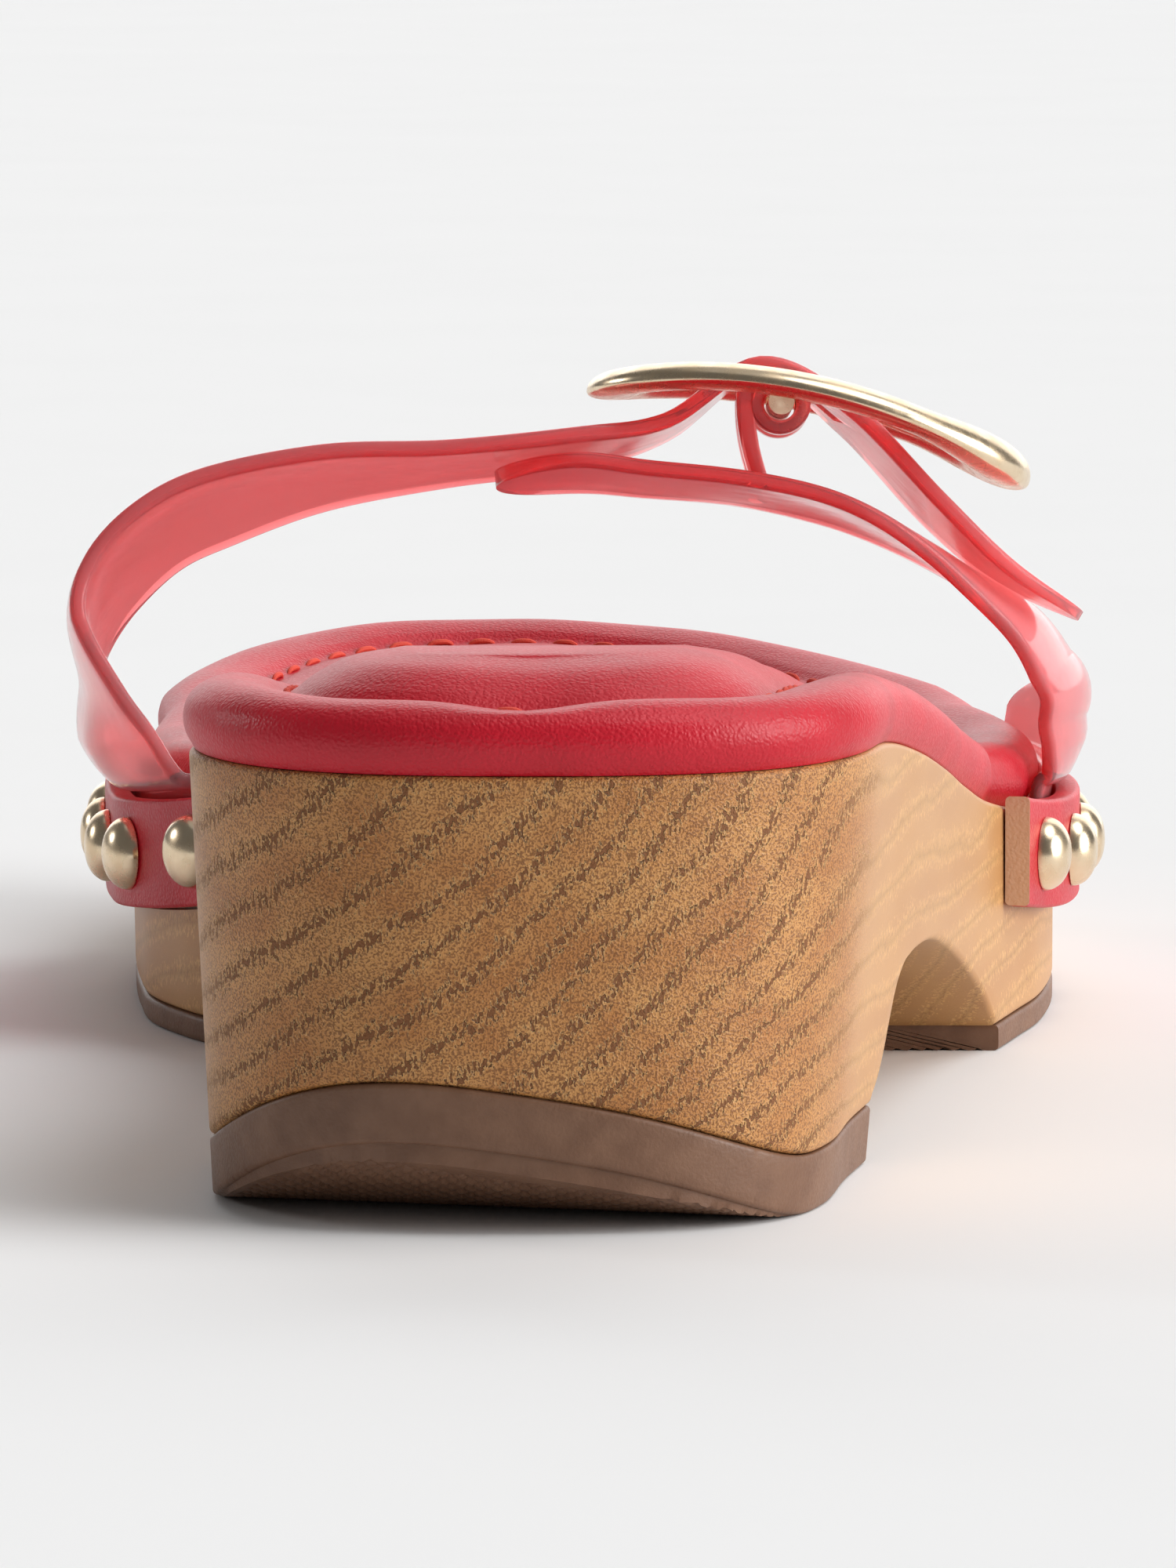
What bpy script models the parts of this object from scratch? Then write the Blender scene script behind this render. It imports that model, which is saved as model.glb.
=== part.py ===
"""Clog sandal with a translucent jelly strap on a platform: one right shoe.

Modelling frame: X runs across the foot (medial is -X, lateral is +X), Y runs along it from the
back of the heel to the toe, and Z is up from the floor. Tables and sizes are in millimetres.
The finished shoe is then moved so that the origin is under the middle of its box.
"""

import bmesh
import bpy
import numpy as np
from mathutils import Vector

for old in list(bpy.data.objects):
    bpy.data.objects.remove(old, do_unlink=True)

# Driving sizes
MM = 0.001
GAP = 0.3
LENGTH = 246.0
HEEL_ROUND = 30.0
HEEL_POWER = 2.5
TOE_ROUND = 80.0
TOE_POWER = 2.3
DRAFT_ACROSS = (-30.0, 25.0)

HEEL_LIFT_THICK = 5.5
HEEL_LIFT_FRONT = 46.0
ROCKER_START = 21.5
ROCKER_SKEW = 0.24
ROCKER_RADIUS = 36.0
FOREFOOT_SOLE_THICK = 2.6
FOREFOOT_SOLE_REAR = 121.0
TOE_SPRING_START = 200.0
TOE_SPRING_RADIUS = 235.0

FOOTBED_OVERHANG = 0.5
FOOTBED_WAIST_IN = 2.1
FOOTBED_WAIST = (114.0, 126.0, 190.0, 204.0)
REBATE_DEPTH = 2.1
REBATE_TALL = 10.4
CUT_PAST = 6.0
REBATE_ENDS = {"medial": (124.2, 187.0), "lateral": (143.2, 191.0)}
BAND_INNER = 0.25
BAND_THICK = 2.5
BAND_TALL = 11.0
BAND_RISE = 0.9
BAND_BEVEL = (0.6, 0.45)
BAND_ENDS = {"medial": (112.0, 194.0), "lateral": (123.5, 196.0)}
STUD_RADIUS = 3.7
STUD_DOME = 2.2
STUD_PITCH = 14.5
STUD_FIRST = {"medial": 122.5, "lateral": 131.0}
STUD_COUNT = {"medial": 5, "lateral": 5}
STUD_SAGITTA = 0.15

# Platform sections: side edges in plan before the ends are rounded, and the height of its top
SECTION_COLUMNS = ("along", "medial", "lateral", "top")
SECTIONS = np.array([
    (0.0, -36.5, 25.5, 41.7),
    (30.0, -36.3, 27.0, 41.2),
    (46.0, -35.6, 29.1, 39.5),
    (60.0, -34.0, 31.6, 37.1),
    (80.0, -31.8, 34.6, 33.2),
    (100.0, -31.8, 37.2, 29.1),
    (118.0, -34.8, 40.2, 25.4),
    (130.0, -41.0, 43.0, 23.4),
    (140.0, -44.7, 45.6, 22.3),
    (152.0, -46.3, 47.4, 21.5),
    (168.0, -47.4, 48.0, 21.0),
    (190.0, -48.0, 45.0, 21.2),
    (215.0, -50.5, 40.5, 22.2),
    (246.0, -54.0, 34.0, 24.6),
])

# Slope of the platform's sides: how far each one draws in for each millimetre down from the top
DRAFT_COLUMNS = ("along", "medial", "lateral")
DRAFTS = np.array([
    (0.0, 0.05, 0.095),
    (20.0, 0.05, 0.1),
    (34.0, 0.05, 0.095),
    (46.0, 0.055, 0.083),
    (66.0, 0.06, 0.083),
    (80.0, 0.05, 0.08),
    (91.0, 0.045, 0.07),
    (101.0, 0.035, 0.05),
    (109.0, 0.025, 0.028),
    (118.0, 0.02, 0.0),
    (150.0, 0.02, 0.0),
    (246.0, 0.02, 0.02),
])

# Arch notch under the waist: height of the platform's underside
NOTCH_COLUMNS = ("along", "under")
NOTCH = np.array([
    (46.0, 5.8),
    (48.6, 7.0),
    (50.8, 9.0),
    (52.6, 11.6),
    (54.8, 14.4),
    (58.2, 16.4),
    (64.0, 17.2),
    (72.0, 17.2),
    (80.5, 16.5),
    (91.0, 14.6),
    (101.0, 12.0),
    (109.0, 9.2),
    (115.0, 6.4),
    (120.0, 2.9),
])

# Footbed edge from underneath, over the rolled rim, down into the sewn groove and up to the pad
RIM_COLUMNS = ("inset", "height", "heel_swell")
RIM = np.array([
    (1.0, 0.0, 0.0),
    (0.2, 1.5, 0.0),
    (0.0, 3.1, 0.0),
    (0.6, 4.8, 0.0),
    (2.2, 6.0, 0.0),
    (4.6, 6.3, 0.0),
    (7.4, 5.7, 0.0),
    (9.4, 4.7, 0.0),
    (11.8, 5.1, 1.3),
    (15.2, 5.4, 2.7),
    (20.0, 5.5, 3.4),
])
PAD_HEEL_END = 60.0
PAD_FADE_END = 115.0

# Straps: a row for each section, with its rear and front edge. Hug is 1 where the section follows
# the platform's side, at a stand-off and a rise from its top edge, and 0 where it runs free from
# its rear edge to its front edge. Crown is how far the middle of the strap bows out.
STRAP_COLUMNS = (
    "hug", "stand_off", "rise", "thick",
    "rear_x", "rear_y", "rear_z", "front_x", "front_y", "front_z", "crown",
)
MEDIAL_STRAP = np.array([
    (1.0, -0.85, -9.8, 1.4, -39.0, 125.0, 15.2, -47.0, 186.0, 12.0, 0.0),
    (1.0, -0.85, 1.0, 1.4, -39.0, 125.0, 25.0, -47.0, 186.0, 22.0, 0.0),
    (1.0, 2.0, 2.9, 1.6, -41.0, 125.0, 27.0, -48.5, 185.5, 24.0, 0.4),
    (1.0, 3.8, 6.4, 1.6, -43.2, 125.5, 30.2, -50.5, 184.5, 27.3, 1.1),
    (0.3, 5.0, 10.5, 1.6, -47.0, 127.0, 35.0, -51.5, 182.0, 31.0, 1.3),
    (0.0, 3.0, 12.0, 1.6, -51.0, 130.0, 42.5, -50.4, 177.0, 34.5, 1.5),
    (0.0, 3.0, 12.0, 1.6, -49.8, 132.0, 48.2, -47.3, 172.0, 39.2, 1.8),
    (0.0, 3.0, 12.0, 1.6, -45.2, 133.0, 53.2, -42.5, 167.5, 44.0, 1.6),
    (0.0, 3.0, 12.0, 1.6, -38.4, 134.0, 56.6, -37.0, 164.5, 46.9, 1.2),
    (0.0, 3.0, 12.0, 1.6, -26.5, 134.5, 58.9, -27.0, 161.0, 50.9, 0.8),
    (0.0, 3.0, 12.0, 1.6, -14.0, 135.0, 59.3, -14.5, 158.5, 53.6, 0.4),
    (0.0, 3.0, 12.0, 1.6, -1.0, 135.5, 60.6, -1.0, 157.0, 55.6, 0.0),
    (0.0, 3.0, 12.0, 1.6, 8.0, 138.0, 61.8, 8.0, 155.0, 58.8, 0.0),
    (0.0, 3.0, 12.0, 1.6, 17.4, 137.5, 67.5, 17.4, 155.5, 65.4, 0.0),
    (0.0, 3.0, 12.0, 1.6, 26.5, 137.5, 63.1, 26.0, 155.5, 59.4, 0.0),
    (0.0, 3.0, 12.0, 1.6, 35.6, 137.0, 53.8, 34.8, 156.5, 49.8, 0.0),
    (0.0, 3.0, 12.0, 1.6, 42.6, 138.0, 47.0, 41.8, 156.0, 44.1, 0.0),
    (0.0, 3.0, 12.0, 1.0, 50.4, 139.0, 42.0, 49.8, 155.5, 39.8, 0.0),
])
LATERAL_STRAP = np.array([
    (1.0, -0.85, -9.8, 1.4, 42.0, 144.0, 14.2, 44.0, 190.0, 12.0, 0.0),
    (1.0, -0.85, 1.0, 1.4, 42.0, 144.0, 24.0, 44.0, 190.0, 22.0, 0.0),
    (1.0, 0.4, 3.2, 1.6, 44.0, 143.8, 26.0, 46.5, 189.5, 24.0, 0.9),
    (1.0, 0.4, 6.2, 1.6, 45.6, 143.0, 29.0, 48.0, 188.0, 26.8, 2.4),
    (0.4, 0.3, 9.4, 1.6, 46.3, 141.6, 31.8, 49.4, 185.5, 29.8, 3.1),
    (0.0, 3.0, 12.0, 1.6, 45.3, 139.8, 35.2, 48.0, 181.0, 32.5, 3.0),
    (0.0, 3.0, 12.0, 1.6, 42.9, 137.6, 39.7, 44.8, 175.0, 37.5, 2.4),
    (0.0, 3.0, 12.0, 1.6, 38.4, 135.6, 44.6, 39.5, 169.0, 41.8, 1.2),
    (0.0, 3.0, 12.0, 1.6, 34.0, 134.2, 48.7, 34.0, 163.0, 45.4, 0.8),
    (0.0, 3.0, 12.0, 1.6, 28.8, 133.0, 52.4, 28.5, 160.5, 48.1, 0.5),
    (0.0, 3.0, 12.0, 1.6, 23.0, 133.5, 54.8, 23.0, 159.5, 50.0, 0.3),
    (0.0, 3.0, 12.0, 1.6, 15.0, 134.0, 56.4, 15.0, 159.0, 51.8, 0.0),
    (0.0, 3.0, 12.0, 1.6, 6.0, 134.5, 57.3, 6.0, 158.5, 52.6, 0.0),
    (0.0, 3.0, 12.0, 1.6, -1.0, 135.0, 58.1, -1.0, 158.0, 53.1, 0.0),
    (0.0, 3.0, 12.0, 1.6, -9.4, 135.5, 57.5, -9.4, 157.5, 52.2, 0.0),
])
STRAP_ROWS_BETWEEN = 3
STRAP_ACROSS = 9
STRAP_REACH = (110.0, 205.0)
TIP_ROUND = 0.09
TIP_ROWS = np.array([0.5, 0.22, 0.08, 0.0])

# Buckle: an oval ring bent to the instep, with a bar across its middle and a prong
RING_CENTRE_X = 22.2
RING_CENTRE_Y = 147.0
RING_HALF_X = 19.4
RING_HALF_Y = 14.2
RING_POWER = 2.3
RING_WIDE = 6.0
RING_THICK = 3.0
RING_SWELL_FROM = 0.55
RING_SWELL_WIDE = 0.25
RING_SWELL_THICK = 0.5
RING_TOP = 66.6
RING_TOP_X = 10.0
RING_BEND = 118.0
INSTEP_SLOPE = 0.12
BAR_X = 19.4
BAR_DROP = 1.8
BAR_RADIUS = 1.3
LOOP_WALL = 1.5
LOOP_WIDE = 5.0
LOOP_OFFSET = 5.3
NECK_START = (-3.4, 0.0, 3.0)
NECK_FOOT = (-1.8, 0.0, -8.4)
NECK_THICK = 1.9
PRONG_RADIUS = 0.9
PRONG_EYE_WALL = 1.2
PRONG_EYE_WIDE = 3.2
PRONG_OVERHANG = 1.2
PRONG_SINK = 1.2
PRONG_SLOT_WIDE = 3.6
PRONG_SLOT_ENDS = (15.0, 29.0)
PRONG_SLOT_UNDER = 1.6

# Prong from its eye to the strap: distance past the bar's axis, and height over it
PRONG_COLUMNS = ("past", "above")
PRONG_ROUTE = np.array([
    (1.6, 1.4),
    (6.6, 0.6),
    (15.0, -2.6),
])

# Colours and finish of each material: linear colour, roughness, metallic
FINISHES = {
    "wood": ((0.42, 0.235, 0.098), 0.5, 0.0),
    "rubber": ((0.165, 0.104, 0.075), 0.55, 0.0),
    "leather": ((0.52, 0.031, 0.048), 0.42, 0.0),
    "jelly": ((0.78, 0.052, 0.05), 0.2, 0.0),
    "gold": ((0.72, 0.53, 0.32), 0.25, 1.0),
}


def column(table, names, name):
    """One named column of a table."""
    return table[:, names.index(name)]


def smooth(known, values, at):
    """Cubic curve through the known points, with the slope of each taken from its neighbours."""
    slope = np.gradient(values, known)
    i = np.clip(np.searchsorted(known, at) - 1, 0, len(known) - 2)
    step = known[i + 1] - known[i]
    t = (at - known[i]) / step
    start = (1 + 2 * t) * (1 - t) ** 2 * values[i] + t * (1 - t) ** 2 * step * slope[i]
    end = t * t * (3 - 2 * t) * values[i + 1] + t * t * (t - 1) * step * slope[i + 1]
    return start + end


def platform_top(along):
    """Height of the platform's top at a place along the shoe."""
    known = column(SECTIONS, SECTION_COLUMNS, "along")
    return smooth(known, column(SECTIONS, SECTION_COLUMNS, "top"), np.clip(along, 0, LENGTH))


def floor_line(along, across):
    """Height of the outsoles' underside: flat, lifted by the heel's slanted rocker and the toe spring."""
    rocker = np.clip(ROCKER_START - ROCKER_SKEW * across - along, 0, None) ** 2 / (2 * ROCKER_RADIUS)
    spring = np.clip(along - TOE_SPRING_START, 0, None) ** 2 / (2 * TOE_SPRING_RADIUS)
    return rocker + spring


def platform_under(along, across):
    """Height of the platform's underside: on the heel lift, over the notch and on the front sole."""
    heel = floor_line(along, across) + HEEL_LIFT_THICK + GAP
    front = floor_line(along, across) + FOREFOOT_SOLE_THICK + GAP
    known = column(NOTCH, NOTCH_COLUMNS, "along")
    notch = smooth(known, column(NOTCH, NOTCH_COLUMNS, "under"), np.clip(along, known[0], known[-1]))
    return np.where(along <= known[0], heel, np.where(along >= known[-1], front, notch))


def edges(along, grow):
    """Medial and lateral edge of the outline at each station, moved outwards by grow.

    Each edge is the section table's own, drawn in by a superellipse at the heel and at the toe.
    Returns two arrays of (x, y).
    """
    known = column(SECTIONS, SECTION_COLUMNS, "along")
    medial = smooth(known, column(SECTIONS, SECTION_COLUMNS, "medial"), along)
    lateral = smooth(known, column(SECTIONS, SECTION_COLUMNS, "lateral"), along)
    back = np.clip(1 - along / HEEL_ROUND, 0, 1)
    front = np.clip(1 - (LENGTH - along) / TOE_ROUND, 0, 1)
    keep = (1 - back ** HEEL_POWER) ** (1 / HEEL_POWER) * (1 - front ** TOE_POWER) ** (1 / TOE_POWER)
    centre, half = (medial + lateral) / 2, (lateral - medial) / 2
    moved = []
    for side in (-1, 1):
        edge = np.stack([centre + side * half * keep, along], axis=1)
        tangent = np.gradient(edge, axis=0)
        normal = side * np.stack([tangent[:, 1], -tangent[:, 0]], axis=1)
        normal[along <= 0] = (0, -1)
        normal[along >= LENGTH] = (0, 1)
        normal /= np.linalg.norm(normal, axis=1, keepdims=True)
        moved.append(edge + normal * np.reshape(grow, (-1, 1)))
    return moved


def stations(start, end, extra=()):
    """Places along the shoe from start to end, close together where the ends are round."""
    heel = HEEL_ROUND * (1 - np.cos(np.linspace(0, np.pi / 2, 10)))
    toe = LENGTH - TOE_ROUND * (1 - np.cos(np.linspace(0, np.pi / 2, 14)))
    waist = np.arange(40.0, LENGTH - TOE_ROUND, 5.0)
    places = np.unique(np.round(np.concatenate([heel, waist, toe, extra]), 3))
    inside = places[(places > start + 0.4) & (places < end - 0.4)]
    return np.concatenate([[start], inside, [end]])


def finish_object(name, mesh_builder, finish):
    """Turns a filled bmesh into a named object with its material."""
    bmesh.ops.remove_doubles(mesh_builder, verts=mesh_builder.verts, dist=1e-6)
    bmesh.ops.triangulate(mesh_builder, faces=mesh_builder.faces)
    bmesh.ops.recalc_face_normals(mesh_builder, faces=mesh_builder.faces)
    mesh = bpy.data.meshes.new(name)
    mesh_builder.to_mesh(mesh)
    mesh_builder.free()
    mesh.shade_smooth()
    mesh.set_sharp_from_angle(angle=np.radians(35))
    mesh.materials.append(material(finish))
    piece = bpy.data.objects.new(name, mesh)
    bpy.context.collection.objects.link(piece)
    return piece


def material(finish):
    """The Principled material of a finish, made once."""
    if finish in bpy.data.materials:
        return bpy.data.materials[finish]
    colour, roughness, metallic = FINISHES[finish]
    made = bpy.data.materials.new(finish)
    made.use_nodes = True
    shader = made.node_tree.nodes["Principled BSDF"]
    shader.inputs["Base Color"].default_value = (*colour, 1)
    shader.inputs["Roughness"].default_value = roughness
    shader.inputs["Metallic"].default_value = metallic
    return made


def loft(name, loops, finish, closed=False):
    """Solid through a run of closed loops, capped at both ends unless the run itself is closed."""
    builder = bmesh.new()
    rings = [[builder.verts.new(Vector(point) * MM) for point in loop] for loop in loops]
    count = len(rings[0])
    pairs = list(zip(rings, rings[1:]))
    if closed:
        pairs.append((rings[-1], rings[0]))
    for ring, following in pairs:
        for i in range(count):
            j = (i + 1) % count
            builder.faces.new((ring[i], ring[j], following[j], following[i]))
    if not closed:
        builder.faces.new(rings[0])
        builder.faces.new(rings[-1])
    return finish_object(name, builder, finish)


def side_draft(along, across):
    """Slope of the platform's side: the medial column to the left, the lateral one to the right."""
    known = column(DRAFTS, DRAFT_COLUMNS, "along")
    medial = smooth(known, column(DRAFTS, DRAFT_COLUMNS, "medial"), along)
    lateral = smooth(known, column(DRAFTS, DRAFT_COLUMNS, "lateral"), along)
    share = np.interp(across, DRAFT_ACROSS, (0, 1))
    return medial * (1 - share) + lateral * share


def slab(name, along, low, high, finish):
    """Sole layer between two heights, each a function of (along, across), with drafted sides."""
    top = platform_top(along)
    corners = []
    for surface in (low, high):
        for side in (0, 1):
            across = edges(along, 0.0)[side][:, 0]
            height = surface(along, across)
            edge = edges(along, -side_draft(along, across) * (top - height))[side]
            corners.append(np.column_stack([edge, height]))
    medial_low, lateral_low, medial_high, lateral_high = corners
    return loft(name, np.stack([medial_low, lateral_low, lateral_high, medial_high], axis=1), finish)


def make_platform():
    """Wood-look platform with the arch notch cut right through under the waist."""
    along = stations(0.0, LENGTH, column(NOTCH, NOTCH_COLUMNS, "along"))
    platform = slab("platform", along, platform_under, lambda y, x: platform_top(y), "wood")
    for side, word in enumerate(("medial", "lateral")):
        combine(platform, make_rebate(word, side), "DIFFERENCE")
    return platform


def make_rebate(word, side):
    """Cutter for the step in the platform's side that takes a strap's end."""
    along = np.linspace(*REBATE_ENDS[word], 21)
    inner, outer, low, high = -REBATE_DEPTH, CUT_PAST, -REBATE_TALL, CUT_PAST
    profile = ((inner, low), (inner, high), (outer, high), (outer, low))
    return loft(word + "_rebate", side_loops(side, along, profile), "wood")


def side_outline(side, along, grow):
    """Points (x, y) on the medial (0) or lateral (1) side of the platform, moved outwards."""
    step = along[1] - along[0]
    wider = np.concatenate([[along[0] - step], along, [along[-1] + step]])
    return edges(wider, grow)[side][1:-1]


def side_loops(side, along, profile):
    """Loops of a strip along one side: the profile is (out, rise) from the platform's top edge."""
    strips = []
    for out, rise in profile:
        strips.append(np.column_stack([side_outline(side, along, out), platform_top(along) + rise]))
    return np.stack(strips, axis=1)


def make_outsole(name, start, end, thick):
    """Rubber layer that follows the floor line, between two places along the shoe."""
    return slab(name, stations(start, end), floor_line, lambda y, x: floor_line(y, x) + thick, "rubber")


def make_footbed():
    """Padded footbed: a rolled rim, a groove inside it and a pad that swells under the heel."""
    along = stations(0.0, LENGTH)
    fade = np.clip((PAD_FADE_END - along) / (PAD_FADE_END - PAD_HEEL_END), 0, 1)
    swell = fade * fade * (3 - 2 * fade)
    overhang = FOOTBED_OVERHANG - FOOTBED_WAIST_IN * np.interp(along, FOOTBED_WAIST, (0, 1, 1, 0))
    medial_side, lateral_side = [], []
    for inset, height, heel_swell in RIM:
        for side, edge in zip((medial_side, lateral_side), edges(along, overhang - inset)):
            z = platform_top(edge[:, 1]) + GAP + height + heel_swell * swell
            side.append(np.column_stack([edge, z]))
    return loft("footbed", np.stack(medial_side + lateral_side[::-1], axis=1), "leather")


def strap_surface(table, side):
    """Middle surface of a strap and its half wall, each an array of rows, places across, xyz.

    Straight lines join the rear edge to the front edge, bowed outwards by the crown. The rows
    near the base follow the platform's side instead. The free end is rounded off.
    """
    rows = np.arange(len(table), dtype=float)
    at = np.linspace(0, rows[-1], (len(table) - 1) * STRAP_ROWS_BETWEEN + 1)
    at = np.unique(np.round(np.concatenate([at, at[-1] - TIP_ROWS]), 4))
    value = {name: smooth(rows, table[:, i], at)[:, None] for i, name in enumerate(STRAP_COLUMNS)}
    hug = np.clip(value["hug"], 0, 1)
    left = np.clip((at / at[-1] - (1 - TIP_ROUND)) / TIP_ROUND, 0, 0.97)
    keep = np.sqrt(1 - left ** 2)[:, None]
    across = 0.5 + (np.linspace(0, 1, STRAP_ACROSS)[None, :] - 0.5) * keep

    def between(axis):
        return value["rear_" + axis] * (1 - across) + value["front_" + axis] * across

    x, y, z = between("x"), between("y"), between("z")
    fine = np.linspace(*STRAP_REACH, 48)
    edge = side_outline(side, fine, 0.0)
    slant = np.interp(y, fine, np.hypot(np.gradient(edge[:, 0], fine), 1.0))
    outwards = value["stand_off"] * slant * (-1 if side == 0 else 1)
    follow = np.interp(y, edge[:, 1], edge[:, 0]) + outwards
    above = platform_top(y) + value["rise"]
    surface = np.stack([hug * follow + (1 - hug) * x, y, hug * above + (1 - hug) * z], axis=2)
    for bow in (value["crown"] * 4 * across * (1 - across), None):
        normal = np.cross(np.gradient(surface, axis=0), np.gradient(surface, axis=1))
        normal *= (1 if side == 0 else -1) / np.linalg.norm(normal, axis=2, keepdims=True)
        if bow is not None:
            surface = surface + normal * bow[:, :, None]
    return surface, normal * value["thick"][:, :, None] / 2


def make_strap(name, table, side):
    """Strap with its wall on both sides of its middle surface."""
    surface, half_wall = strap_surface(table, side)
    outer = surface + half_wall
    inner = surface - half_wall
    return loft(name, np.concatenate([outer, inner[:, ::-1]], axis=1), "jelly")


def ring_height(x, y):
    """Height of the buckle's middle: bent over the instep and sloping down to the toe."""
    return RING_TOP - (x - RING_TOP_X) ** 2 / RING_BEND - INSTEP_SLOPE * (y - RING_CENTRE_Y + RING_HALF_Y)


def bar_point(y):
    """Point on the axis of the buckle's bar."""
    return np.array([BAR_X, y, ring_height(BAR_X, y) - BAR_DROP])


def bar_collar(name, y, inner, outer, wide, finish):
    """Short sleeve round the buckle's bar."""
    turn = np.linspace(0, 2 * np.pi, 14, endpoint=False)
    loops = []
    for angle in turn:
        out = np.array([np.cos(angle), 0, np.sin(angle)])
        rear, front = bar_point(y - wide / 2), bar_point(y + wide / 2)
        loops.append([rear + out * inner, front + out * inner, front + out * outer, rear + out * outer])
    return loft(name, loops, finish, closed=True)


def hide_tool(tool):
    """Marks a helper solid that only takes part in a union or a cut."""
    tool.hide_render = True
    tool.display_type = "WIRE"


def combine(piece, tool, operation):
    """Adds a live Boolean of a helper solid to a piece."""
    hide_tool(tool)
    modifier = piece.modifiers.new(tool.name, "BOOLEAN")
    modifier.operation = operation
    modifier.object = tool


def make_upper():
    """Jelly upper: two straps joined where they cross, with loops that hold the buckle's bar."""
    upper = make_strap("upper", MEDIAL_STRAP, 0)
    combine(upper, make_strap("lateral_strap", LATERAL_STRAP, 1), "UNION")
    loop_inner = BAR_RADIUS + GAP
    for word, offset in (("rear", -LOOP_OFFSET), ("front", LOOP_OFFSET)):
        y = RING_CENTRE_Y + offset
        loop = bar_collar("loop_" + word, y, loop_inner, loop_inner + LOOP_WALL, LOOP_WIDE, "jelly")
        combine(upper, loop, "UNION")
        combine(upper, make_loop_neck("neck_" + word, y), "UNION")
    combine(upper, make_prong_slot(), "DIFFERENCE")
    return upper


def make_loop_neck(name, y):
    """Slanted web beside a loop, from the upper strap down into the strap under it."""
    wide, thick = LOOP_WIDE / 2 - 0.2, NECK_THICK / 2
    loops = []
    for middle in (bar_point(y) + NECK_START, bar_point(y) + NECK_FOOT):
        corners = ((-thick, -wide), (thick, -wide), (thick, wide), (-thick, wide))
        loops.append([middle + (dx, dy, -INSTEP_SLOPE * dy) for dx, dy in corners])
    return loft(name, loops, "jelly")


def make_prong_slot():
    """Hole through the upper strap for the prong."""
    rear, front = RING_CENTRE_Y - PRONG_SLOT_WIDE / 2, RING_CENTRE_Y + PRONG_SLOT_WIDE / 2
    low, high = bar_point(RING_CENTRE_Y)[2] - PRONG_SLOT_UNDER, RING_TOP + CUT_PAST
    corners = ((rear, low), (front, low), (front, high), (rear, high))
    return loft("prong_slot", [[(x, *corner) for corner in corners] for x in PRONG_SLOT_ENDS], "jelly")


def ring_swell(x):
    """0 on most of the ring, rising smoothly to 1 at its outer end."""
    share = np.clip((x - RING_CENTRE_X) / RING_HALF_X, 0, 1)
    rise = np.clip((share - RING_SWELL_FROM) / (1 - RING_SWELL_FROM), 0, 1)
    return rise * rise * (3 - 2 * rise)


def make_buckle():
    """Oval ring with a domed top and a thicker outer end, and a round bar across its middle."""
    turn = np.linspace(0, 2 * np.pi, 48, endpoint=False)
    c, s = np.cos(turn), np.sin(turn)
    x = RING_CENTRE_X + RING_HALF_X * np.sign(c) * np.abs(c) ** (2 / RING_POWER)
    y = RING_CENTRE_Y + RING_HALF_Y * np.sign(s) * np.abs(s) ** (2 / RING_POWER)
    path = np.stack([x, y, ring_height(x, y)], axis=1)
    lean_x, lean_y = 2 * (x - RING_TOP_X) / RING_BEND, np.full_like(x, INSTEP_SLOPE)
    up = np.stack([lean_x, lean_y, np.ones_like(x)], axis=1)
    up /= np.linalg.norm(up, axis=1, keepdims=True)
    tangent = np.roll(path, -1, axis=0) - np.roll(path, 1, axis=0)
    out = np.cross(tangent, up)
    out /= np.linalg.norm(out, axis=1, keepdims=True)
    swell = ring_swell(x)[:, None]
    out = out * RING_WIDE / 2 * (1 + RING_SWELL_WIDE * swell)
    up = up * RING_THICK * (1 + RING_SWELL_THICK * swell)
    dome = np.radians(np.linspace(-35, 215, 8))
    loops = np.stack([path + out * np.cos(a) + up * (0.6 * np.sin(a) - 0.1) for a in dome], axis=1)
    buckle = loft("buckle", loops, "gold", closed=True)
    bar_turn = np.linspace(0, 2 * np.pi, 12, endpoint=False)
    section = BAR_RADIUS * np.stack([np.cos(bar_turn), 0 * bar_turn, np.sin(bar_turn)], axis=1)
    ends = (RING_CENTRE_Y - RING_HALF_Y, RING_CENTRE_Y + RING_HALF_Y)
    combine(buckle, loft("bar", [bar_point(end) + section for end in ends], "gold"), "UNION")
    combine(buckle, make_prong_rest(), "DIFFERENCE")
    return buckle


def prong_path(start, count):
    """Points on the prong's axis, from a share of its length to its tip, which lies sunk in the ring's end."""
    eye = bar_point(RING_CENTRE_Y)
    ring_end = RING_CENTRE_X + RING_HALF_X
    ring_top = ring_height(ring_end, RING_CENTRE_Y) + RING_THICK * (1 + RING_SWELL_THICK) / 2
    xs = np.append(eye[0] + column(PRONG_ROUTE, PRONG_COLUMNS, "past"), ring_end + PRONG_OVERHANG)
    zs = np.append(eye[2] + column(PRONG_ROUTE, PRONG_COLUMNS, "above"), ring_top - PRONG_SINK)
    known = np.arange(len(xs), dtype=float)
    at = np.linspace(start * known[-1], known[-1], count)
    return np.stack([smooth(known, xs, at), np.full_like(at, RING_CENTRE_Y), smooth(known, zs, at)], axis=1)


def make_prong_rest():
    """Cutter for the groove in the ring's end that the prong lies in, open above and past the tip."""
    half = PRONG_RADIUS + GAP
    path = prong_path(0.7, 6)
    past_tip = path[-1] + (path[-1] - path[-2]) * CUT_PAST
    loops = []
    for x, y, z in (*path, past_tip):
        high = z + CUT_PAST
        loops.append([(x, y - half, z - half), (x, y + half, z - half), (x, y + half, high), (x, y - half, high)])
    return loft("prong_rest", loops, "gold")


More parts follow.
